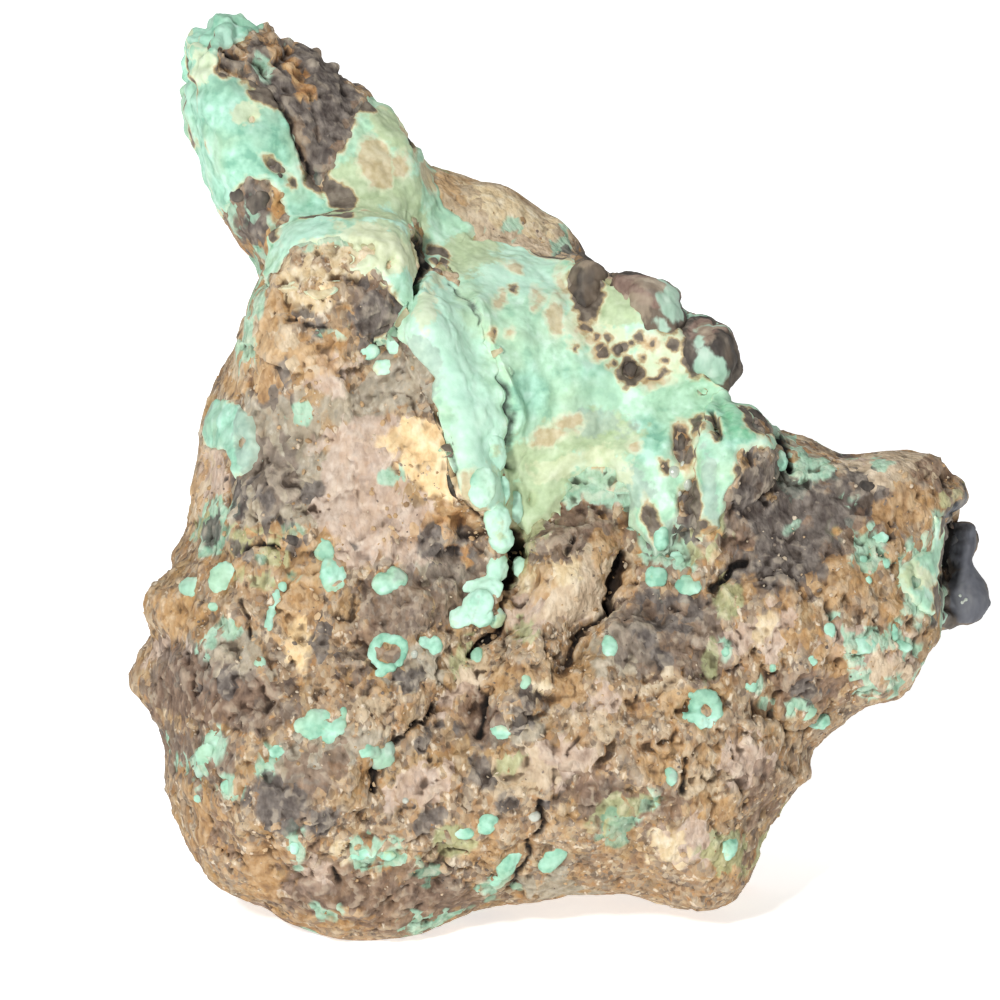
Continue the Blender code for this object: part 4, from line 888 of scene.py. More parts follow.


# The tones that several of the minerals share: the painted black shade inside an open crack, and rust.
CRACK_SHADE_TONES = ["#070605", "#0e0b09", "#1a1511"]
RUST_TONES = ["#9a6c40", "#bb8b56", "#d3ad78"]

# Gossan: iron-stained quartz and clay, dull and granular, each grain its own tan, brown, ochre or grey.
gossan, tree, where, shader = mineral_material("gossan_iron_stained_rock")
GRAIN_TONES = [
    "#4f4138", "#9b7851", "#bca381", "#70625b", "#d0bd9e", "#a87c4e", "#beac93", "#645750", "#b2916a",
]
SOIL_TONES = ["#715f4e", "#917c65", "#a79277", "#b6a284", "#c5b498"]
tall = {0: where, 1: (1.0, 1.0, 0.66)}
tall = add_node(tree, "ShaderNodeVectorMath", tall, operation="MULTIPLY").outputs[0]
ROCK_WAVES = {"coarse": 2.6, "fine": 0.55, "tone": 0.9, "rust": 3.0, "soot": 1.8, "specks": 0.8}
GRAIN_SIZES = (1.15, 0.5)
mottle = Mottle(tree, tall, ROCK_WAVES, GRAIN_SIZES)
soil = {"Fac": mottle.parts["coarse"]["Red"]}
colour = add_node(tree, "ShaderNodeValToRGB", soil, tones=SOIL_TONES).outputs["Color"]
for (own, _), share in zip(mottle.grains, (0.55, 0.6)):
    pick = add_node(tree, "ShaderNodeMath", {0: own["Red"], 1: 0.4, 2: 0.3}, operation="MULTIPLY_ADD")
    toned = add_node(tree, "ShaderNodeValToRGB", {"Fac": pick.outputs[0]}, tones=GRAIN_TONES)
    mixed = {"Factor": share, 6: colour, 7: toned.outputs["Color"]}
    colour = add_node(tree, "ShaderNodeMix", mixed, data_type="RGBA").outputs[2]
colour = mottle.veil(colour, "rust", "Green", 0.5, 0.66, "#ab8853", 0.45)
colour = mottle.veil(colour, "soot", "Red", 0.53, 0.68, "#a87c4c", 0.4)
colour = mottle.veil(colour, "soot", "Blue", 0.52, 0.68, "#756759", 0.4)
colour = mottle.veil(colour, "specks", "Red", 0.58, 0.68, "#54473c", 0.7)
colour = mottle.veil(colour, "specks", "Green", 0.60, 0.70, "#efe2cb", 0.6)
colour = mottle.veil(colour, "specks", "Blue", 0.60, 0.70, "#b9864e", 0.5)
for name, tones, ragged, strength in (
    ("grey", ["#8e8978", "#a6a08f", "#bfb9a9"], 1.2, 0.7),
    ("pink", ["#b39c8b", "#cab4a3", "#dac9ba"], 1.1, 0.7),
    # Purple and umber also lay painted shade along the foot's edge.
    ("purple", ["#544741", "#6e6057", "#8a7a6e"], 1.3, 0.7),
    ("umber", ["#5b473b", "#7d6554", "#9c836e"], 1.3, 0.74),
    ("clay", ["#b8a285", "#cdb999", "#dfceb1"], 1.2, 0.66),
    ("ochre", ["#96714a", "#bc935f", "#d3b184"], 1.2, 0.6),
    ("limonite", ["#d9b583", "#ecd0a0", "#f7e2bd"], 0.6, 0.92),
    ("cream", ["#d0b78c", "#e0cda6", "#ede2c8"], 0.8, 0.75),
    ("olive", ["#8f9668", "#aab183", "#c0c89c"], 0.9, 0.7),
    ("malachite", ["#88b89c", "#a5cfb5", "#bfdfc8"], 0.9, 0.8),
    ("deep_green", ["#5f9079", "#7fab91", "#a2c2ac"], 0.8, 0.7),
    ("manganese", ["#433c3a", "#655e59", "#867e76"], 1.1, 0.88),
    ("verdigris", ["#8db49a", "#a9ccb3", "#c4dec8"], 0.6, 0.8),
    ("rust", RUST_TONES, 0.6, 0.8),
    ("slate", ["#5a5d64", "#6a6d72", "#7c7e80"], 0.4, 0.9),
    # Painted shade: an open crack is coloured near-black.
    ("crack", CRACK_SHADE_TONES, 0.12, 1.0),
):
    colour = mottle.stain(colour, name, tones, ragged=ragged, strength=strength)
# Painted shade darkens the hollows, fine and deep, and a painted highlight pales the raised grains between
# them.
colour = mottle.veil(colour, "hollow", None, -0.04, -0.2, "#e8d8be", 0.22)
colour = mottle.veil(colour, "hollow", None, 0.0, 0.22, "#806b57", 0.6, "MULTIPLY")
colour = mottle.veil(colour, "hollow", None, 0.10, 0.30, "#3f3128", 0.6, "MULTIPLY")
colour = mottle.veil(colour, "deep_hollow", None, 0.1, 1.2, "#86705b", 0.8, "MULTIPLY")
height = add_node(tree, "ShaderNodeMath", {0: mottle.parts["tone"]["Blue"], 1: 1.6}, operation="MULTIPLY")
for (_, distance), share in zip(mottle.grains, (-1.2, -0.8)):
    height = {0: distance, 1: share, 2: height.outputs[0]}
    height = add_node(tree, "ShaderNodeMath", height, operation="MULTIPLY_ADD")
bump = add_node(tree, "ShaderNodeBump", {"Height": height.outputs[0], "Strength": 0.6, "Distance": 0.0003})
tree.links.new(colour, shader.inputs["Base Color"])
tree.links.new(bump.outputs["Normal"], shader.inputs["Normal"])
shader.inputs["Roughness"].default_value = 0.86
shader.inputs["Specular IOR Level"].default_value = 0.3

# Every finished piece's skin, for later pieces to be set on.
skins = []


def finish_piece(obj, material):
    """Stands the piece up in the room, gives it its material and fixes it to the specimen."""
    corners = [tuple(v.co) for v in obj.data.vertices]
    skins.append(bvhtree.BVHTree.FromPolygons(corners, [tuple(f.vertices) for f in obj.data.polygons]))
    obj.data.transform(standing)
    obj.data.materials.clear()
    obj.data.materials.append(material)
    obj.data.shade_smooth()
    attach(obj, "root")


# Flat places are thinned to keep the piece light, and the back, which is plain broken rock, a little more.
MOST_TRIANGLES = 190000
thinned = rock.vertex_groups.new(name="thinned")
thinned.add(list(range(len(places))), 0.5, "REPLACE")
thinned.add(np.nonzero(normals[:, 2] < -0.15)[0].tolist(), 1.0, "REPLACE")
share = MOST_TRIANGLES / (2 * len(quads))
modify(rock, "DECIMATE", ratio=share, vertex_group="thinned", vertex_group_factor=0.01)
bake(rock)
grain_bed = rock.data.copy()
finish_piece(rock, gossan)
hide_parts("azurite_malachite_specimen")

# ------------------------------------------------------------------------------------------------------------
# The malachite crusts: smooth, waxy green skins with rounded knobs, grown over the rock from copper-rich
# water. Each is a sheet lifted off the stone's own skin, whose rim dips under the rock around it.

# Malachite: waxy pale green, paler at its rims and knobs, stained olive, cream, ochre and black in places,
# and painted near-black as shade in its cracks.
malachite, tree, where, shader = mineral_material("malachite_botryoidal_crust")
GREEN_TONES = ["#a0cbac", "#aed6b6", "#b8dfc0", "#c1e6ca", "#d0efd8"]
AQUA_TONES = ["#7cb49a", "#92c6ab", "#9fd1b8", "#aadac3", "#bce4d1"]
mottle = Mottle(tree, where, {"coarse": 2.6, "fine": 0.55, "tone": 0.9, "broad": 6.5})
shade = {0: mottle.parts["tone"]["Red"], 1: 0.8, 2: -0.4}
shade = add_node(tree, "ShaderNodeMath", shade, operation="MULTIPLY_ADD")
shade = {0: mottle.parts["coarse"]["Green"], 1: 1.0, 2: shade.outputs[0]}
shade = add_node(tree, "ShaderNodeMath", shade, operation="MULTIPLY_ADD").outputs[0]
colour = add_node(tree, "ShaderNodeValToRGB", {"Fac": shade}, tones=GREEN_TONES).outputs["Color"]
aqua = add_node(tree, "ShaderNodeValToRGB", {"Fac": shade}, tones=AQUA_TONES).outputs["Color"]
bluer = {0: mottle.parts["coarse"]["Blue"], 1: 2.0, 2: "aqua"}
bluer = add_node(tree, "ShaderNodeMath", bluer, operation="MULTIPLY_ADD").outputs[0]
bluer = {"Value": bluer, "From Min": 0.2, "From Max": 2.0, "To Max": 0.85}
bluer = add_node(tree, "ShaderNodeMapRange", bluer, interpolation_type="SMOOTHSTEP").outputs["Result"]
bluer = {0: bluer, 1: "aqua_share"}
bluer = add_node(tree, "ShaderNodeMath", bluer, operation="ADD", use_clamp=True).outputs[0]
mixed = {"Factor": bluer, 6: colour, 7: aqua}
colour = add_node(tree, "ShaderNodeMix", mixed, data_type="RGBA").outputs[2]
colour = mottle.veil(colour, "broad", "Red", 0.5, 0.64, "#c3cda6", 0.3)
colour = mottle.veil(colour, "broad", "Green", 0.52, 0.64, "#9cc0a8", 0.4)
rim = {0: mottle.parts["fine"]["Green"], 1: 0.8, 2: "rim"}
rim = add_node(tree, "ShaderNodeMath", rim, operation="MULTIPLY_ADD")
rim = {"Value": rim.outputs[0], "From Min": 0.35, "From Max": 0.85, "To Min": 0.5, "To Max": 0.0}
rim = add_node(tree, "ShaderNodeMapRange", rim, interpolation_type="SMOOTHSTEP").outputs["Result"]
mixed = {"Factor": rim, 6: colour, 7: linear("#d9e2c6")}
colour = add_node(tree, "ShaderNodeMix", mixed, data_type="RGBA").outputs[2]
for name, tones, ragged, strength, reach, soft in (
    ("pale", ["#bbe6ce", "#c7eed9", "#d3f4e2"], 0.8, 0.65, 0.4, 0.6),
    ("olive", ["#a8b384", "#bbc698", "#ccd5ad"], 1.0, 0.75, 0.3, 0.4),
    ("grey", ["#8da296", "#a2b6a7", "#b6c8b8"], 0.7, 0.7, 0.3, 0.25),
    ("cream", ["#cdd2ab", "#d9debb", "#e4e8ca"], 0.9, 0.7, 0.3, 0.25),
    ("deep_green", ["#5dab7c", "#82c297", "#a9d6b4"], 0.6, 0.75, 0.0, 0.3),
    ("ochre", ["#d3d6b0", "#dde0c0", "#e6e8cf"], 0.4, 0.6, 0.35, 0.2),
    ("manganese", ["#cdcb9e", "#d9d8b4", "#e3e3c8"], 0.35, 0.55, 0.35, 0.15),
    ("manganese", ["#86603f", "#a9834f", "#c39e68"], 0.35, 0.7, 0.14, 0.1),
    ("ochre", ["#b08a5c", "#c6a67c", "#d6bd98"], 0.45, 0.62, 0.0, 0.2),
    ("manganese", ["#463c35", "#625850", "#7f766a"], 0.35, 0.92, -0.04, 0.12),
    ("rust", RUST_TONES, 0.5, 0.7, 0.0, 0.15),
    # Painted shade: an open crack is coloured near-black.
    ("crack", CRACK_SHADE_TONES, 0.15, 0.95, -0.02, 0.2),
):
    colour = mottle.stain(colour, name, tones, ragged, strength, reach, soft)
# Painted shade darkens the crust's hollows, fine and deep.
colour = mottle.veil(colour, "hollow", None, 0.0, 0.24, "#7f9c80", 0.45, "MULTIPLY")
colour = mottle.veil(colour, "deep_hollow", None, 0.3, 1.4, "#6f8f74", 0.55, "MULTIPLY")
height = {0: mottle.parts["fine"]["Red"], 1: 0.7, 2: mottle.parts["tone"]["Green"]}
height = add_node(tree, "ShaderNodeMath", height, operation="MULTIPLY_ADD").outputs[0]
bump = add_node(tree, "ShaderNodeBump", {"Height": height, "Strength": 0.35, "Distance": 0.00012})
tree.links.new(colour, shader.inputs["Base Color"])
tree.links.new(bump.outputs["Normal"], shader.inputs["Normal"])
shader.inputs["Roughness"].default_value = 0.62
shader.inputs["Specular IOR Level"].default_value = 0.4

# A crust's wall, how far its rim dips into the rock, and how much of the rock's slow swells it follows.
SHEET_WALL = 0.7
RIM_DIP = 0.6
DRAPE = 0.6
# How far a crust reaches round the stone's side, as the cosine of the skin's angle to the viewer.
ROUND_THE_SIDE = -0.35


def sheet_depth(outline_name, places, normals):
    """How far inside its rim a crust is. It ends too where the skin turns away round the stone's side."""
    return np.minimum(crust_depth(outline_name, places), 4.0 * (normals[:, 2] - ROUND_THE_SIDE))


def crust(name, outline_name, thickness, knob, knob_height, aqua_share, material=malachite, slot="malachite"):
    """One crust: a sheet of the rock's skin inside its outline, thickened, knobbed and closed underneath."""
    used = sheet_depth(outline_name, places, normals) > -0.9
    faces = quads[used[quads].all(axis=1)]
    kept, numbers = np.unique(faces, return_inverse=True)
    mesh = bpy.data.meshes.new(name)
    mesh.from_pydata(places[kept].tolist(), [], numbers.reshape(-1, 4).tolist())
    obj = shown(name, mesh)
    modify(obj, "SUBSURF", levels=1, render_levels=1)
    mesh = bake(obj)
    at = read(mesh)
    knobbed = knobs(at, knob, 41)
    out = read(mesh, "normal")
    depth = sheet_depth(outline_name, at, out)
    depth += 0.5 * (knobbed - 0.5)
    # From its dipped rim the sheet rises to its thickness, and it swells a little more inside.
    lift = -RIM_DIP + (RIM_DIP + thickness) * smoothstep(-0.45, 0.4, depth)
    lift += 0.25 * smoothstep(0.3, 2.5, depth)
    lift += knob_height * knobbed + 0.35 * knob_height * knobs(at, 0.45 * knob, 42)
    lift += DRAPE * soft_waves(at)
    for high, wave, seed in ((0.14, 4.4, 48), (0.10, 2.0, 45), (0.05, 0.9, 44)):
        lift += high * ripple(at, wave, seed)
    lift += shared_relief(at, out, 1.0)
    crack = cut_cracks(at, lift, 1.0, 0.1)
    write(mesh, at + out * lift[:, None])
    set_stains(mesh)
    set_field(mesh, "rim", depth)
    set_field(mesh, "crack", crack)
    set_field(mesh, "aqua_share", np.full(len(at), aqua_share))
    obj.vertex_groups.new(name="underside")
    modify(obj, "SOLIDIFY", thickness=SHEET_WALL, offset=-1.0, shell_vertex_group="underside")
    modify(obj, "DECIMATE", ratio=0.6, vertex_group="underside", vertex_group_factor=20.0)
    bake(obj)
    finish_piece(obj, material)


for settings in (
    ("horn_crust", "horn", 0.40, 2.2, 0.18, 0.8),
    ("blade_crust", "blade", 0.30, 2.0, 0.16, 0.1),
    ("collar_crust", "collar", 0.35, 1.8, 0.18, 0.15),
    ("curtain_crust", "curtain", 0.30, 3.0, 0.24, 0.1),
    ("basin_crust", "basin", 0.25, 2.4, 0.14, 0.1),
    ("spur_crust", "spur", 0.45, 1.8, 0.25, 0.2),
    ("flank_crust", "flank", 0.35, 1.8, 0.20, 0.5),
    ("tip_crust", "tip", 0.30, 1.4, 0.22, 0.4),
):
    crust(*settings)

# ------------------------------------------------------------------------------------------------------------
# The malachite buttons: small flat beads, lobes and leaves of malachite that sit on the rock and along the
# curtain's torn edge. They are rounded lumps, run together where they touch, because they grew as one skin.

# Each lump: across, up, half its width, half its height, its turn in degrees and how far it stands out.
CURTAIN_LOBES = [
    (49.4, 54.6, 1.5, 2.2, 0, 0.8), (48.3, 51.2, 1.4, 2.2, -8, 0.7), (50.4, 51.0, 0.7, 1.5, 0, 0.5),
    (49.8, 48.0, 1.4, 2.0, 5, 0.8), (50.3, 46.0, 1.3, 1.5, 0, 0.8), (49.8, 43.2, 1.2, 1.7, -10, 0.8),
    (48.6, 41.2, 1.8, 1.4, 0, 0.7), (47.8, 39.8, 1.7, 1.4, 20, 0.6), (46.0, 38.4, 1.4, 1.2, 0, 0.5),
    (48.2, 38.4, 1.2, 1.2, 0, 0.6), (49.7, 38.2, 1.0, 1.1, 0, 0.7), (46.9, 41.4, 0.8, 0.7, 0, 0.4),
    (36.8, 64.7, 1.4, 0.9, 0, 0.4), (38.4, 63.2, 1.2, 0.9, 20, 0.4), (39.5, 65.6, 1.0, 1.2, 0, 0.5),
    (51.6, 49.2, 0.9, 1.8, 0, 0.5), (51.8, 43.4, 0.8, 1.1, 0, 0.5),
]
BUTTONS = [
    (22.6, 42.0, 1.8, 1.9, 0, 0.5), (19.2, 41.4, 1.7, 1.1, -10, 0.5), (32.2, 45.0, 1.4, 1.3, 0, 0.6),
    (33.6, 42.6, 1.5, 1.9, 0, 0.7), (39.4, 42.2, 1.4, 1.4, 0, 0.9), (38.6, 41.7, 1.3, 1.2, 0, 0.8),
    (28.3, 41.4, 0.6, 0.7, 20, 0.35), (27.7, 40.3, 0.55, 0.9, 10, 0.35), (27.2, 39.0, 0.55, 0.9, 0, 0.35),
    (27.0, 37.8, 0.5, 0.8, 0, 0.35), (26.1, 33.8, 0.7, 0.7, 0, 0.4), (21.6, 39.4, 0.8, 0.6, 0, 0.3),
    (38.2, 32.7, 0.6, 0.5, 0, 0.4), (42.4, 35.9, 0.7, 0.8, 0, 0.45), (43.4, 35.6, 0.8, 1.0, 0, 0.5),
    (30.5, 27.6, 1.0, 0.9, 30, 0.5), (31.6, 26.9, 1.1, 0.9, 10, 0.6), (32.9, 26.8, 1.1, 0.9, 0, 0.6),
    (34.0, 27.6, 0.9, 0.9, 30, 0.6), (34.4, 28.8, 0.5, 0.8, 0, 0.5), (32.3, 28.4, 1.7, 1.0, 0, 0.3),
    (27.9, 25.0, 0.9, 0.8, 0, 0.3), (37.1, 25.0, 1.2, 0.9, -10, 0.9), (38.2, 24.2, 1.4, 1.1, 0, 1.0),
    (38.9, 25.0, 0.8, 1.0, 0, 0.9), (21.4, 26.2, 0.9, 1.4, -30, 0.3), (20.6, 24.6, 0.9, 1.6, -20, 0.3),
    (20.0, 23.0, 0.6, 0.8, 0, 0.3), (22.8, 21.5, 0.8, 0.8, 0, 0.35), (20.0, 20.2, 0.6, 0.6, 0, 0.3),
    (47.8, 34.3, 0.7, 1.2, 0, 0.5), (50.1, 26.8, 1.2, 1.1, 0, 0.8), (61.0, 35.4, 0.9, 1.0, 0, 0.6),
    (68.6, 28.4, 0.9, 0.5, -30, 0.3), (75.1, 31.5, 0.7, 0.7, 0, 0.35), (67.0, 22.5, 0.7, 1.0, 0, 0.4),
    (48.7, 17.7, 1.2, 1.2, 0, 0.8), (46.4, 16.8, 1.0, 0.7, 0, 0.4), (51.2, 14.2, 1.0, 2.5, -32, 0.95),
    (49.6, 12.0, 0.7, 0.9, -30, 0.3), (55.5, 14.6, 1.1, 2.6, -34, 0.8), (72.8, 15.2, 1.2, 1.4, 0, 0.8),
    (52.4, 32.0, 0.6, 0.8, 0, 0.4), (36.4, 14.9, 1.5, 0.8, 10, 0.35), (38.8, 14.6, 0.9, 0.6, 0, 0.3),
    (29.6, 15.8, 0.6, 1.3, -10, 0.3), (87.8, 46.1, 1.1, 0.8, 0, 0.4), (86.2, 44.0, 0.6, 0.6, 0, 0.3),
    (88.5, 43.7, 0.5, 0.5, 0, 0.3), (86.8, 42.0, 0.4, 0.4, 0, 0.3), (82.9, 37.1, 0.7, 0.8, 0, 0.35),
    (86.2, 35.5, 1.5, 1.0, 0, 0.45), (89.4, 37.0, 0.5, 1.0, 10, 0.35), (90.2, 35.5, 1.3, 0.6, -15, 0.35),
    (81.2, 34.0, 0.6, 0.6, 0, 0.3), (77.3, 33.3, 0.45, 0.45, 0, 0.3), (72.5, 34.9, 0.55, 0.5, 0, 0.3),
    (78.9, 29.4, 0.55, 1.0, 0, 0.3), (80.8, 28.6, 1.1, 0.7, 20, 0.4), (81.8, 28.0, 1.2, 1.0, 0, 0.5),
    (78.0, 53.9, 0.9, 1.1, 0, 0.6), (66.0, 46.2, 0.8, 1.3, 0, 0.7), (65.5, 42.4, 1.2, 1.1, 0, 0.6),
    (67.6, 44.2, 0.8, 1.1, 0, 0.4), (68.8, 41.7, 1.4, 1.3, 0, 0.45), (69.0, 30.6, 0.35, 0.35, 0, 0.3),
]


def ring(across, up, half_width, half_height, start, end, bead, count):
    """Lumps along part of an oval ring, its start and end in degrees from the right."""
    lumps = []
    for number in range(count):
        angle = math.radians(start + (end - start) * number / (count - 1))
        lumps.append(
            (across + half_width * math.cos(angle), up + half_height * math.sin(angle), bead, bead, 0, 0.4)
        )
    return lumps


RINGS = (
    ring(38.9, 34.8, 1.6, 1.5, 20, 200, 0.6, 14)
    + ring(38.9, 34.8, 1.5, 1.5, 215, 285, 0.4, 6)
    + ring(38.9, 34.8, 1.6, 1.4, -50, 20, 0.42, 6)
    + ring(70.4, 29.2, 1.05, 1.35, -150, 190, 0.8, 16)
    + ring(60.6, 35.5, 0.9, 0.8, -80, 80, 0.3, 8)
)


# A height over the face that nothing reaches, from which a lump is let down on the skin.
WELL_ABOVE = 60.0


def surface_at(across, up):
    """The highest point of all the pieces so far at that place on the face, and how the skin faces there."""
    best, facing = None, None
    for skin in skins:
        hit, normal, _, _ = skin.ray_cast(Vector((across, up, WELL_ABOVE)), Vector((0.0, 0.0, -1.0)))
        if hit is not None and (best is None or hit.z > best.z):
            best, facing = hit, normal
    return best, facing


def lumps_piece(
    name, lumps, material, slot, voxel=0.17, wobble=0.09, sunk=0.35, seed=50, aqua_share=0.75, pale=-2.5
):
    """Rounded lumps set on the skin, run together, eased and roughened, as one object.

    voxel is the mesh's size, wobble the height of its waves and sunk the share of a lump that is in the rock.
    """
    together = bmesh.new()
    for across, up, half_width, half_height, turn, tall in lumps:
        spot, facing = surface_at(across, up)
        # A lump stands out between the skin's own direction and the viewer's.
        out = (facing + Vector((0.0, 0.0, 0.6))).normalized()
        right = Vector((1.0, 0.0, 0.0))
        right = (right - out * right.dot(out)).normalized()
        pose = (
            Matrix.Translation(spot - out * sunk * tall)
            @ Matrix((right, out.cross(right), out)).transposed().to_4x4()
            @ Matrix.Rotation(math.radians(turn), 4, "Z")
            @ Matrix.Diagonal((half_width, half_height, tall, 1.0))
        )
        bmesh.ops.create_icosphere(together, subdivisions=3, radius=1.0, matrix=pose)
    mesh = bpy.data.meshes.new(name)
    together.to_mesh(mesh)
    together.free()
    obj = shown(name, mesh)
    modify(obj, "REMESH", mode="VOXEL", voxel_size=voxel)
    modify(obj, "SMOOTH", factor=0.5, iterations=3)
    mesh = bake(obj)
    at = read(mesh)
    lift = wobble * (1.6 * ripple(at, 1.6, seed) + ripple(at, 0.7, seed + 1))
    write(mesh, at + read(mesh, "normal") * lift[:, None])
    # Noise alone places the stains on lumps, about a level for each mineral.
    levels = {"pale": pale, "olive": -1.6, "ochre": -1.5, "grey": -1.2, "aqua": 0.4}
    for number, mineral in enumerate(STAINS):
        level = levels.get(mineral, OUTSIDE)
        set_field(mesh, mineral, level + 1.4 * ripple(at, 5.0, seed + 5 + number))
    set_field(mesh, "clay", patch_depth(at, STAINS["clay"]))
    set_field(mesh, "hollow", hollows(mesh, 6))
    set_field(mesh, "deep_hollow", np.zeros(len(at)))
    set_field(mesh, "rim", np.full(len(at), 4.0))
    set_field(mesh, "crack", np.full(len(at), OUTSIDE))
    set_field(mesh, "aqua_share", np.full(len(at), aqua_share))
    finish_piece(obj, material)


lumps_piece("curtain_lobes", CURTAIN_LOBES, malachite, "malachite", aqua_share=0.2, pale=0.0)
lumps_piece("malachite_buttons", BUTTONS + RINGS, malachite, "malachite", seed=55)

# ------------------------------------------------------------------------------------------------------------
# The manganese nodules: dull black-brown lumps of manganese oxide. Three large ones stand on the basin's rim
# and a knob hangs at the arm's end, each a thick crust grown over the rock. Small ones sit in the crusts.

# Manganese oxide: sooty brown-black with a weak sheen on its knobs, stained red-brown, grey and green.
manganese, tree, where, shader = mineral_material("manganese_oxide_nodule")
streaked = {0: where, 1: (1.0, 1.0, 0.4)}
streaked = add_node(tree, "ShaderNodeVectorMath", streaked, operation="MULTIPLY").outputs[0]
mottle = Mottle(tree, streaked, {"tone": 1.1, "fine": 0.5, "coarse": 3.2})
tones = ["#35302c", "#49423c", "#5e564d", "#7b7165"]
soot = {"Fac": mottle.parts["tone"]["Red"]}
colour = add_node(tree, "ShaderNodeValToRGB", soot, tones=tones).outputs["Color"]
colour = mottle.veil(colour, "coarse", "Green", 0.5, 0.62, "#85735f", 0.4)
for name, tones, strength in (
    ("umber", ["#6e564b", "#8c7366", "#a89284"], 0.85),
    ("grey", ["#756d62", "#968e81", "#b0a99b"], 0.6),
    ("clay", ["#93836f", "#ab9b86", "#c2b49d"], 0.7),
    ("slate", ["#50525a", "#61646c", "#74767a"], 0.9),
    ("ochre", ["#96714a", "#b38a5a", "#caa877"], 0.6),
    ("malachite", ["#9dc3ab", "#b4d6c0", "#c8e2cf"], 0.85),
    # Painted shade: an open crack is coloured near-black.
    ("crack", CRACK_SHADE_TONES, 1.0),
):
    colour = mottle.stain(colour, name, tones, 0.5, strength)
# Painted shade darkens the nodules' deep hollows.
colour = mottle.veil(colour, "deep_hollow", None, 0.1, 1.2, "#6c625a", 0.8, "MULTIPLY")
bump = {"Height": mottle.parts["tone"]["Blue"], "Strength": 0.5, "Distance": 0.00015}
bump = add_node(tree, "ShaderNodeBump", bump)
tree.links.new(colour, shader.inputs["Base Color"])
tree.links.new(bump.outputs["Normal"], shader.inputs["Normal"])
shader.inputs["Roughness"].default_value = 0.7
shader.inputs["Specular IOR Level"].default_value = 0.4

for name, outline_name, knob, knob_height in (
    ("first_rim_nodule", "rim_first", 1.6, 0.35),
    ("second_rim_nodule", "rim_second", 1.7, 0.40),
    ("third_rim_nodule", "rim_third", 1.7, 0.45),
    ("arm_end_knob", "knob", 2.6, 0.3),
):
    crust(name, outline_name, 0.35, knob, knob_height, 0.0, manganese, "manganese_oxide")

NODULES = [
    (63.2, 62.8, 0.9, 1.2, 0, 0.5), (25.6, 79.6, 1.2, 1.2, 0, 0.7), (23.8, 80.4, 0.9, 0.9, 0, 0.6),
    (26.3, 80.3, 0.8, 0.8, 0, 0.7), (28.0, 82.4, 0.5, 0.4, 0, 0.4), (51.9, 28.3, 0.8, 1.0, 0, 0.8),
    (29.4, 46.0, 1.0, 0.6, 0, 0.6), (68.2, 55.6, 0.5, 1.4, 5, 0.4), (68.9, 49.6, 0.7, 1.1, 0, 0.5),
    (86.6, 51.4, 1.0, 0.7, 0, 0.5), (61.9, 65.0, 0.5, 0.5, 0, 0.3), (75.8, 58.2, 1.2, 0.8, -30, 0.6),
]
settings = {"voxel": 0.2, "wobble": 0.12, "sunk": 0.4, "seed": 70}
lumps_piece("manganese_nodules", NODULES, manganese, "manganese_oxide", **settings)

# ------------------------------------------------------------------------------------------------------------
# The loose grains: angular bits of quartz, limonite and manganese oxide that stick out of the rock all over.
# They are scattered by Geometry Nodes, thickest where the rock is bare and crumbly.

GRIT_INPUTS = {"Grains per mm2": 1.0, "Smallest mm": 0.1, "Largest mm": 0.4, "Seed": 1, "Finish": None}
SOCKETS = {float: "NodeSocketFloat", int: "NodeSocketInt", type(None): "NodeSocketMaterial"}
grit_tree = bpy.data.node_groups.new("scattered_grit", "GeometryNodeTree")
grit_tree.interface.new_socket("Skin", in_out="INPUT", socket_type="NodeSocketGeometry")
for name, value in GRIT_INPUTS.items():
    grit_tree.interface.new_socket(name, in_out="INPUT", socket_type=SOCKETS[type(value)])
grit_tree.interface.new_socket("Grit", in_out="OUTPUT", socket_type="NodeSocketGeometry")
given = add_node(grit_tree, "NodeGroupInput").outputs
bare = {"Name": "grainy"}
bare = add_node(grit_tree, "GeometryNodeInputNamedAttribute", bare, data_type="FLOAT").outputs[0]
per_area = {0: given["Grains per mm2"], 1: bare}
per_area = add_node(grit_tree, "ShaderNodeMath", per_area, operation="MULTIPLY").outputs[0]
points = {"Mesh": given["Skin"], "Density": per_area, "Seed": given["Seed"]}
points = add_node(grit_tree, "GeometryNodeDistributePointsOnFaces", points).outputs["Points"]
# The cube of a random number makes most grains small.
chance = add_node(grit_tree, "FunctionNodeRandomValue", {"Seed": 3}, data_type="FLOAT").outputs[1]
small_mostly = add_node(grit_tree, "ShaderNodeMath", {0: chance, 1: 3.0}, operation="POWER").outputs[0]
spread = {0: given["Largest mm"], 1: given["Smallest mm"]}
spread = add_node(grit_tree, "ShaderNodeMath", spread, operation="SUBTRACT").outputs[0]
radius = {0: small_mostly, 1: spread, 2: given["Smallest mm"]}
radius = add_node(grit_tree, "ShaderNodeMath", radius, operation="MULTIPLY_ADD").outputs[0]
shape = {0: (0.5, 0.5, 0.4), 1: (1.5, 1.1, 0.9), "Seed": 5}
shape = add_node(grit_tree, "FunctionNodeRandomValue", shape, data_type="FLOAT_VECTOR").outputs[0]
size = add_node(grit_tree, "ShaderNodeVectorMath", {0: shape, "Scale": radius}, operation="SCALE").outputs[0]
turn = {0: (0.0, 0.0, 0.0), 1: (6.3, 6.3, 6.3), "Seed": 9}
turn = add_node(grit_tree, "FunctionNodeRandomValue", turn, data_type="FLOAT_VECTOR").outputs[0]
tone = add_node(grit_tree, "FunctionNodeRandomValue", {"Seed": 11}, data_type="FLOAT").outputs[1]
toned = {"Geometry": points, "Name": "tone", "Value": tone}
settings = {"data_type": "FLOAT", "domain": "POINT"}
toned = add_node(grit_tree, "GeometryNodeStoreNamedAttribute", toned, **settings).outputs["Geometry"]
grain = add_node(grit_tree, "GeometryNodeMeshIcoSphere", {"Radius": 1.0, "Subdivisions": 1}).outputs["Mesh"]
placed = {"Points": toned, "Instance": grain, "Rotation": turn, "Scale": size}
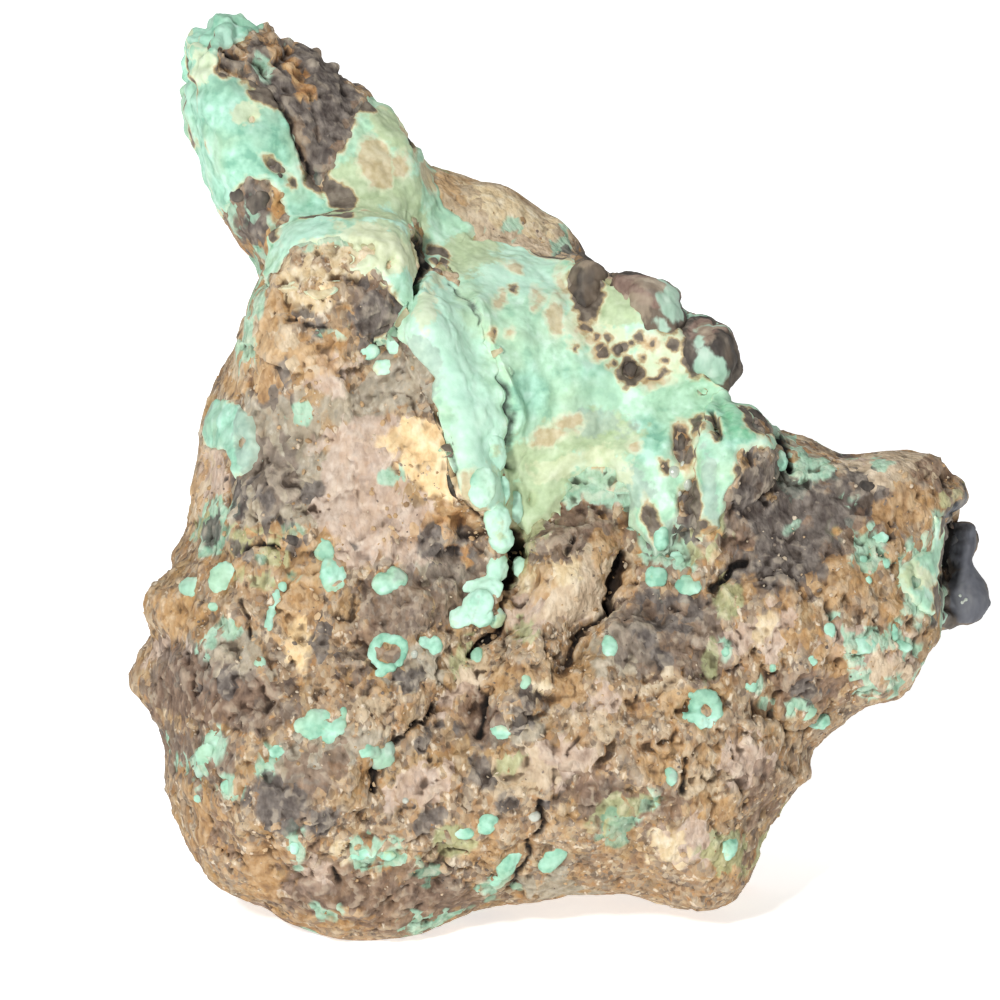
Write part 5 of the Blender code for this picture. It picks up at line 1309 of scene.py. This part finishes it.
placed = add_node(grit_tree, "GeometryNodeInstanceOnPoints", placed).outputs["Instances"]
real = add_node(grit_tree, "GeometryNodeRealizeInstances", {"Geometry": placed}).outputs["Geometry"]
made = {"Geometry": real, "Material": given["Finish"]}
made = add_node(grit_tree, "GeometryNodeSetMaterial", made).outputs["Geometry"]
add_node(grit_tree, "NodeGroupOutput", {"Grit": made})


def grit(name, finish, tones, roughness, slot, bed_field, *sizes):
    """One kind of grain, scattered over the rock where its field is high. Each grain has its own tone.

    sizes are the grit tree's own inputs, in their order: how many, the smallest, the largest and the seed.
    """
    material, tree, _, shader = mineral_material(finish)
    own = add_node(tree, "ShaderNodeMath", {0: "tone", 1: 0.4, 2: 0.3}, operation="MULTIPLY_ADD").outputs[0]
    own = add_node(tree, "ShaderNodeValToRGB", {"Fac": own}, tones=tones).outputs["Color"]
    tree.links.new(own, shader.inputs["Base Color"])
    shader.inputs["Roughness"].default_value = roughness
    bed = grain_bed.copy()
    set_field(bed, "grainy", bed_field)
    obj = shown(name, bed)
    scatter = modify(obj, "NODES", node_group=grit_tree)
    values = dict(zip(GRIT_INPUTS, (*sizes, material)))
    for socket in grit_tree.interface.items_tree:
        if socket.name in values:
            scatter[socket.identifier] = values[socket.name]
    bake(obj)
    obj.data.transform(standing)
    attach(obj, "root")


bed_places = read(grain_bed)
open_rock = 1.0 - smoothstep(-0.8, 0.2, cover_depth(bed_places))
open_rock *= smoothstep(0.3, -0.3, patch_depth(bed_places, STAINS["slate"] + STAINS["malachite"]))
# No grain stands below the foot's broken edge, and none on the horn's crest or on the stone's outline.
open_rock *= smoothstep(1.5, 4.0, foot_height(bed_places)) * smoothstep(CREST_FOOT, 83.0, bed_places[:, 1])
open_rock *= smoothstep(0.2, 0.5, np.abs(read(grain_bed, "normal")[:, 2]))
crumbly = open_rock * smoothstep(-0.5, 0.5, ripple(bed_places, 7.0, 28))
dark = smoothstep(-0.6, 0.6, patch_depth(bed_places, STAINS["manganese"] + STAINS["purple"]))
SPARKLY = [(46.8, 46.0, 3.4, 4.4, 0), (82.0, 45.0, 8.0, 3.0, 0)]
sparkly = open_rock * smoothstep(-0.5, 1.0, patch_depth(bed_places, SPARKLY))

# Quartz grains: clear to milky, so they look pale pink or white where they catch the light.
QUARTZ_TONES = ["#a8967f", "#b9a88f", "#c6b59c", "#d0c1aa", "#bd9f78"]
bed_field = crumbly * (1 - 0.8 * dark) + sparkly
grit("quartz_grains", "quartz_grain", QUARTZ_TONES, 0.4, "chalcedony", bed_field, 0.24, 0.10, 0.34, 7)
# Limonite grains: dull honey, orange and brown bits of iron rust.
LIMONITE_TONES = ["#8d7151", "#ab8c64", "#c0a078", "#b29570", "#cbb08a"]
bed_field = crumbly * (1 - dark)
grit("limonite_grains", "limonite_grain", LIMONITE_TONES, 0.7, "gossan_rock", bed_field, 0.3, 0.12, 0.46, 17)
# Manganese grains: sooty black-brown specks.
SOOT_TONES = ["#5c5047", "#75685b", "#8a7c6e", "#675b50", "#9a8b7a"]
bed_field = 0.5 * crumbly + 0.3 * dark * open_rock
sizes = (0.3, 0.10, 0.30, 27)
grit("manganese_grains", "manganese_oxide_grain", SOOT_TONES, 0.6, "manganese_oxide", bed_field, *sizes)

# ------------------------------------------------------------------------------------------------------------
# The chalcedony beads: clear to milky drops of silica, the last mineral to grow. They sit in a few of the
# rock's hollows, and three stand on the arm-end knob.

BEADS = [
    (67.3, 52.8, 0.7, 0.7, 0, 0.6), (68.7, 51.5, 0.5, 0.7, 0, 0.5), (53.5, 18.5, 0.7, 0.6, 0, 0.6),
    (41.5, 34.7, 0.4, 0.45, 0, 0.5), (40.6, 20.1, 0.4, 0.4, 0, 0.4), (96.2, 40.4, 0.22, 0.22, 0, 0.25),
    (96.8, 40.0, 0.2, 0.2, 0, 0.25), (96.4, 39.7, 0.22, 0.2, 0, 0.25), (68.2, 53.6, 0.35, 0.4, 0, 0.35),
    (67.9, 50.6, 0.3, 0.35, 0, 0.3),
]
# Chalcedony: milky silica that lets a little light through, with a wet-looking polish.
chalcedony, tree, where, shader = mineral_material("chalcedony_milky")
mottle = Mottle(tree, where, {"fine": 0.8})
milk = ["#b9c2b6", "#d0d6c8", "#e6e6da"]
milk = add_node(tree, "ShaderNodeValToRGB", {"Fac": mottle.parts["fine"]["Red"]}, tones=milk).outputs["Color"]
tree.links.new(milk, shader.inputs["Base Color"])
shader.inputs["Roughness"].default_value = 0.25
shader.inputs["Transmission Weight"].default_value = 0.25
shader.inputs["IOR"].default_value = 1.54
lumps_piece("chalcedony_beads", BEADS, chalcedony, "chalcedony", voxel=0.1, wobble=0.02, seed=75)

# ------------------------------------------------------------------------------------------------------------
# The floor, the light and the camera: a plain pale table, a soft light from the viewer's upper left, and a
# long lens that looks squarely at the leaning face, so that the measuring square fills the frame.

floor = shown("floor", bpy.data.meshes.new("floor"))
sheet = bmesh.new()
bmesh.ops.create_grid(sheet, x_segments=1, y_segments=1, size=6.0)
sheet.to_mesh(floor.data)
sheet.free()
table, _, _, shader = mineral_material("matt_white_table")
shader.inputs["Base Color"].default_value = linear("#fafafa")
shader.inputs["Roughness"].default_value = 0.9
shader.inputs["Specular IOR Level"].default_value = 0.1
shader.inputs["Emission Color"].default_value = (1.0, 1.0, 1.0, 1.0)
shader.inputs["Emission Strength"].default_value = 0.62
floor.data.materials.append(table)

room = bpy.data.worlds.new("pale_room")
room.use_nodes = True
room.node_tree.nodes["Background"].inputs["Color"].default_value = (1.0, 1.0, 1.0, 1.0)
room.node_tree.nodes["Background"].inputs["Strength"].default_value = 0.24
bpy.context.scene.world = room

face_middle = standing @ Vector((50.0, 50.0, 0.0))
face_out = (standing.to_3x3() @ Vector((0.0, 0.0, 1.0))).normalized()
face_up = (standing.to_3x3() @ Vector((0.0, 1.0, 0.0))).normalized()
face_right = Vector((1.0, 0.0, 0.0))


def aimed_light(name, direction, distance, size, power):
    lamp = bpy.data.lights.new(name, "AREA")
    lamp.size = size
    lamp.energy = power
    obj = shown(name, lamp)
    obj.location = face_middle + direction.normalized() * distance
    obj.rotation_euler = (-direction).to_track_quat("-Z", "Y").to_euler()


aimed_light("key", face_out - face_right * 0.30 + face_up * 0.22, 1.2, 0.10, 11.0)
aimed_light("top", Vector((0.1, 0.4, 1.0)), 1.0, 0.9, 3.2)

VIEW_DISTANCE = 2.0
SQUARE_SIDE = 0.1
lens = bpy.data.cameras.new("camera")
lens.sensor_width = 36.0
lens.lens = 36.0 * VIEW_DISTANCE / SQUARE_SIDE
lens.clip_end = 20.0
camera = shown("camera", lens)
camera.location = face_middle + face_out * VIEW_DISTANCE
camera.rotation_euler = (-face_out).to_track_quat("-Z", "Y").to_euler()
bpy.context.scene.camera = camera
bpy.context.scene.view_settings.view_transform = "Standard"
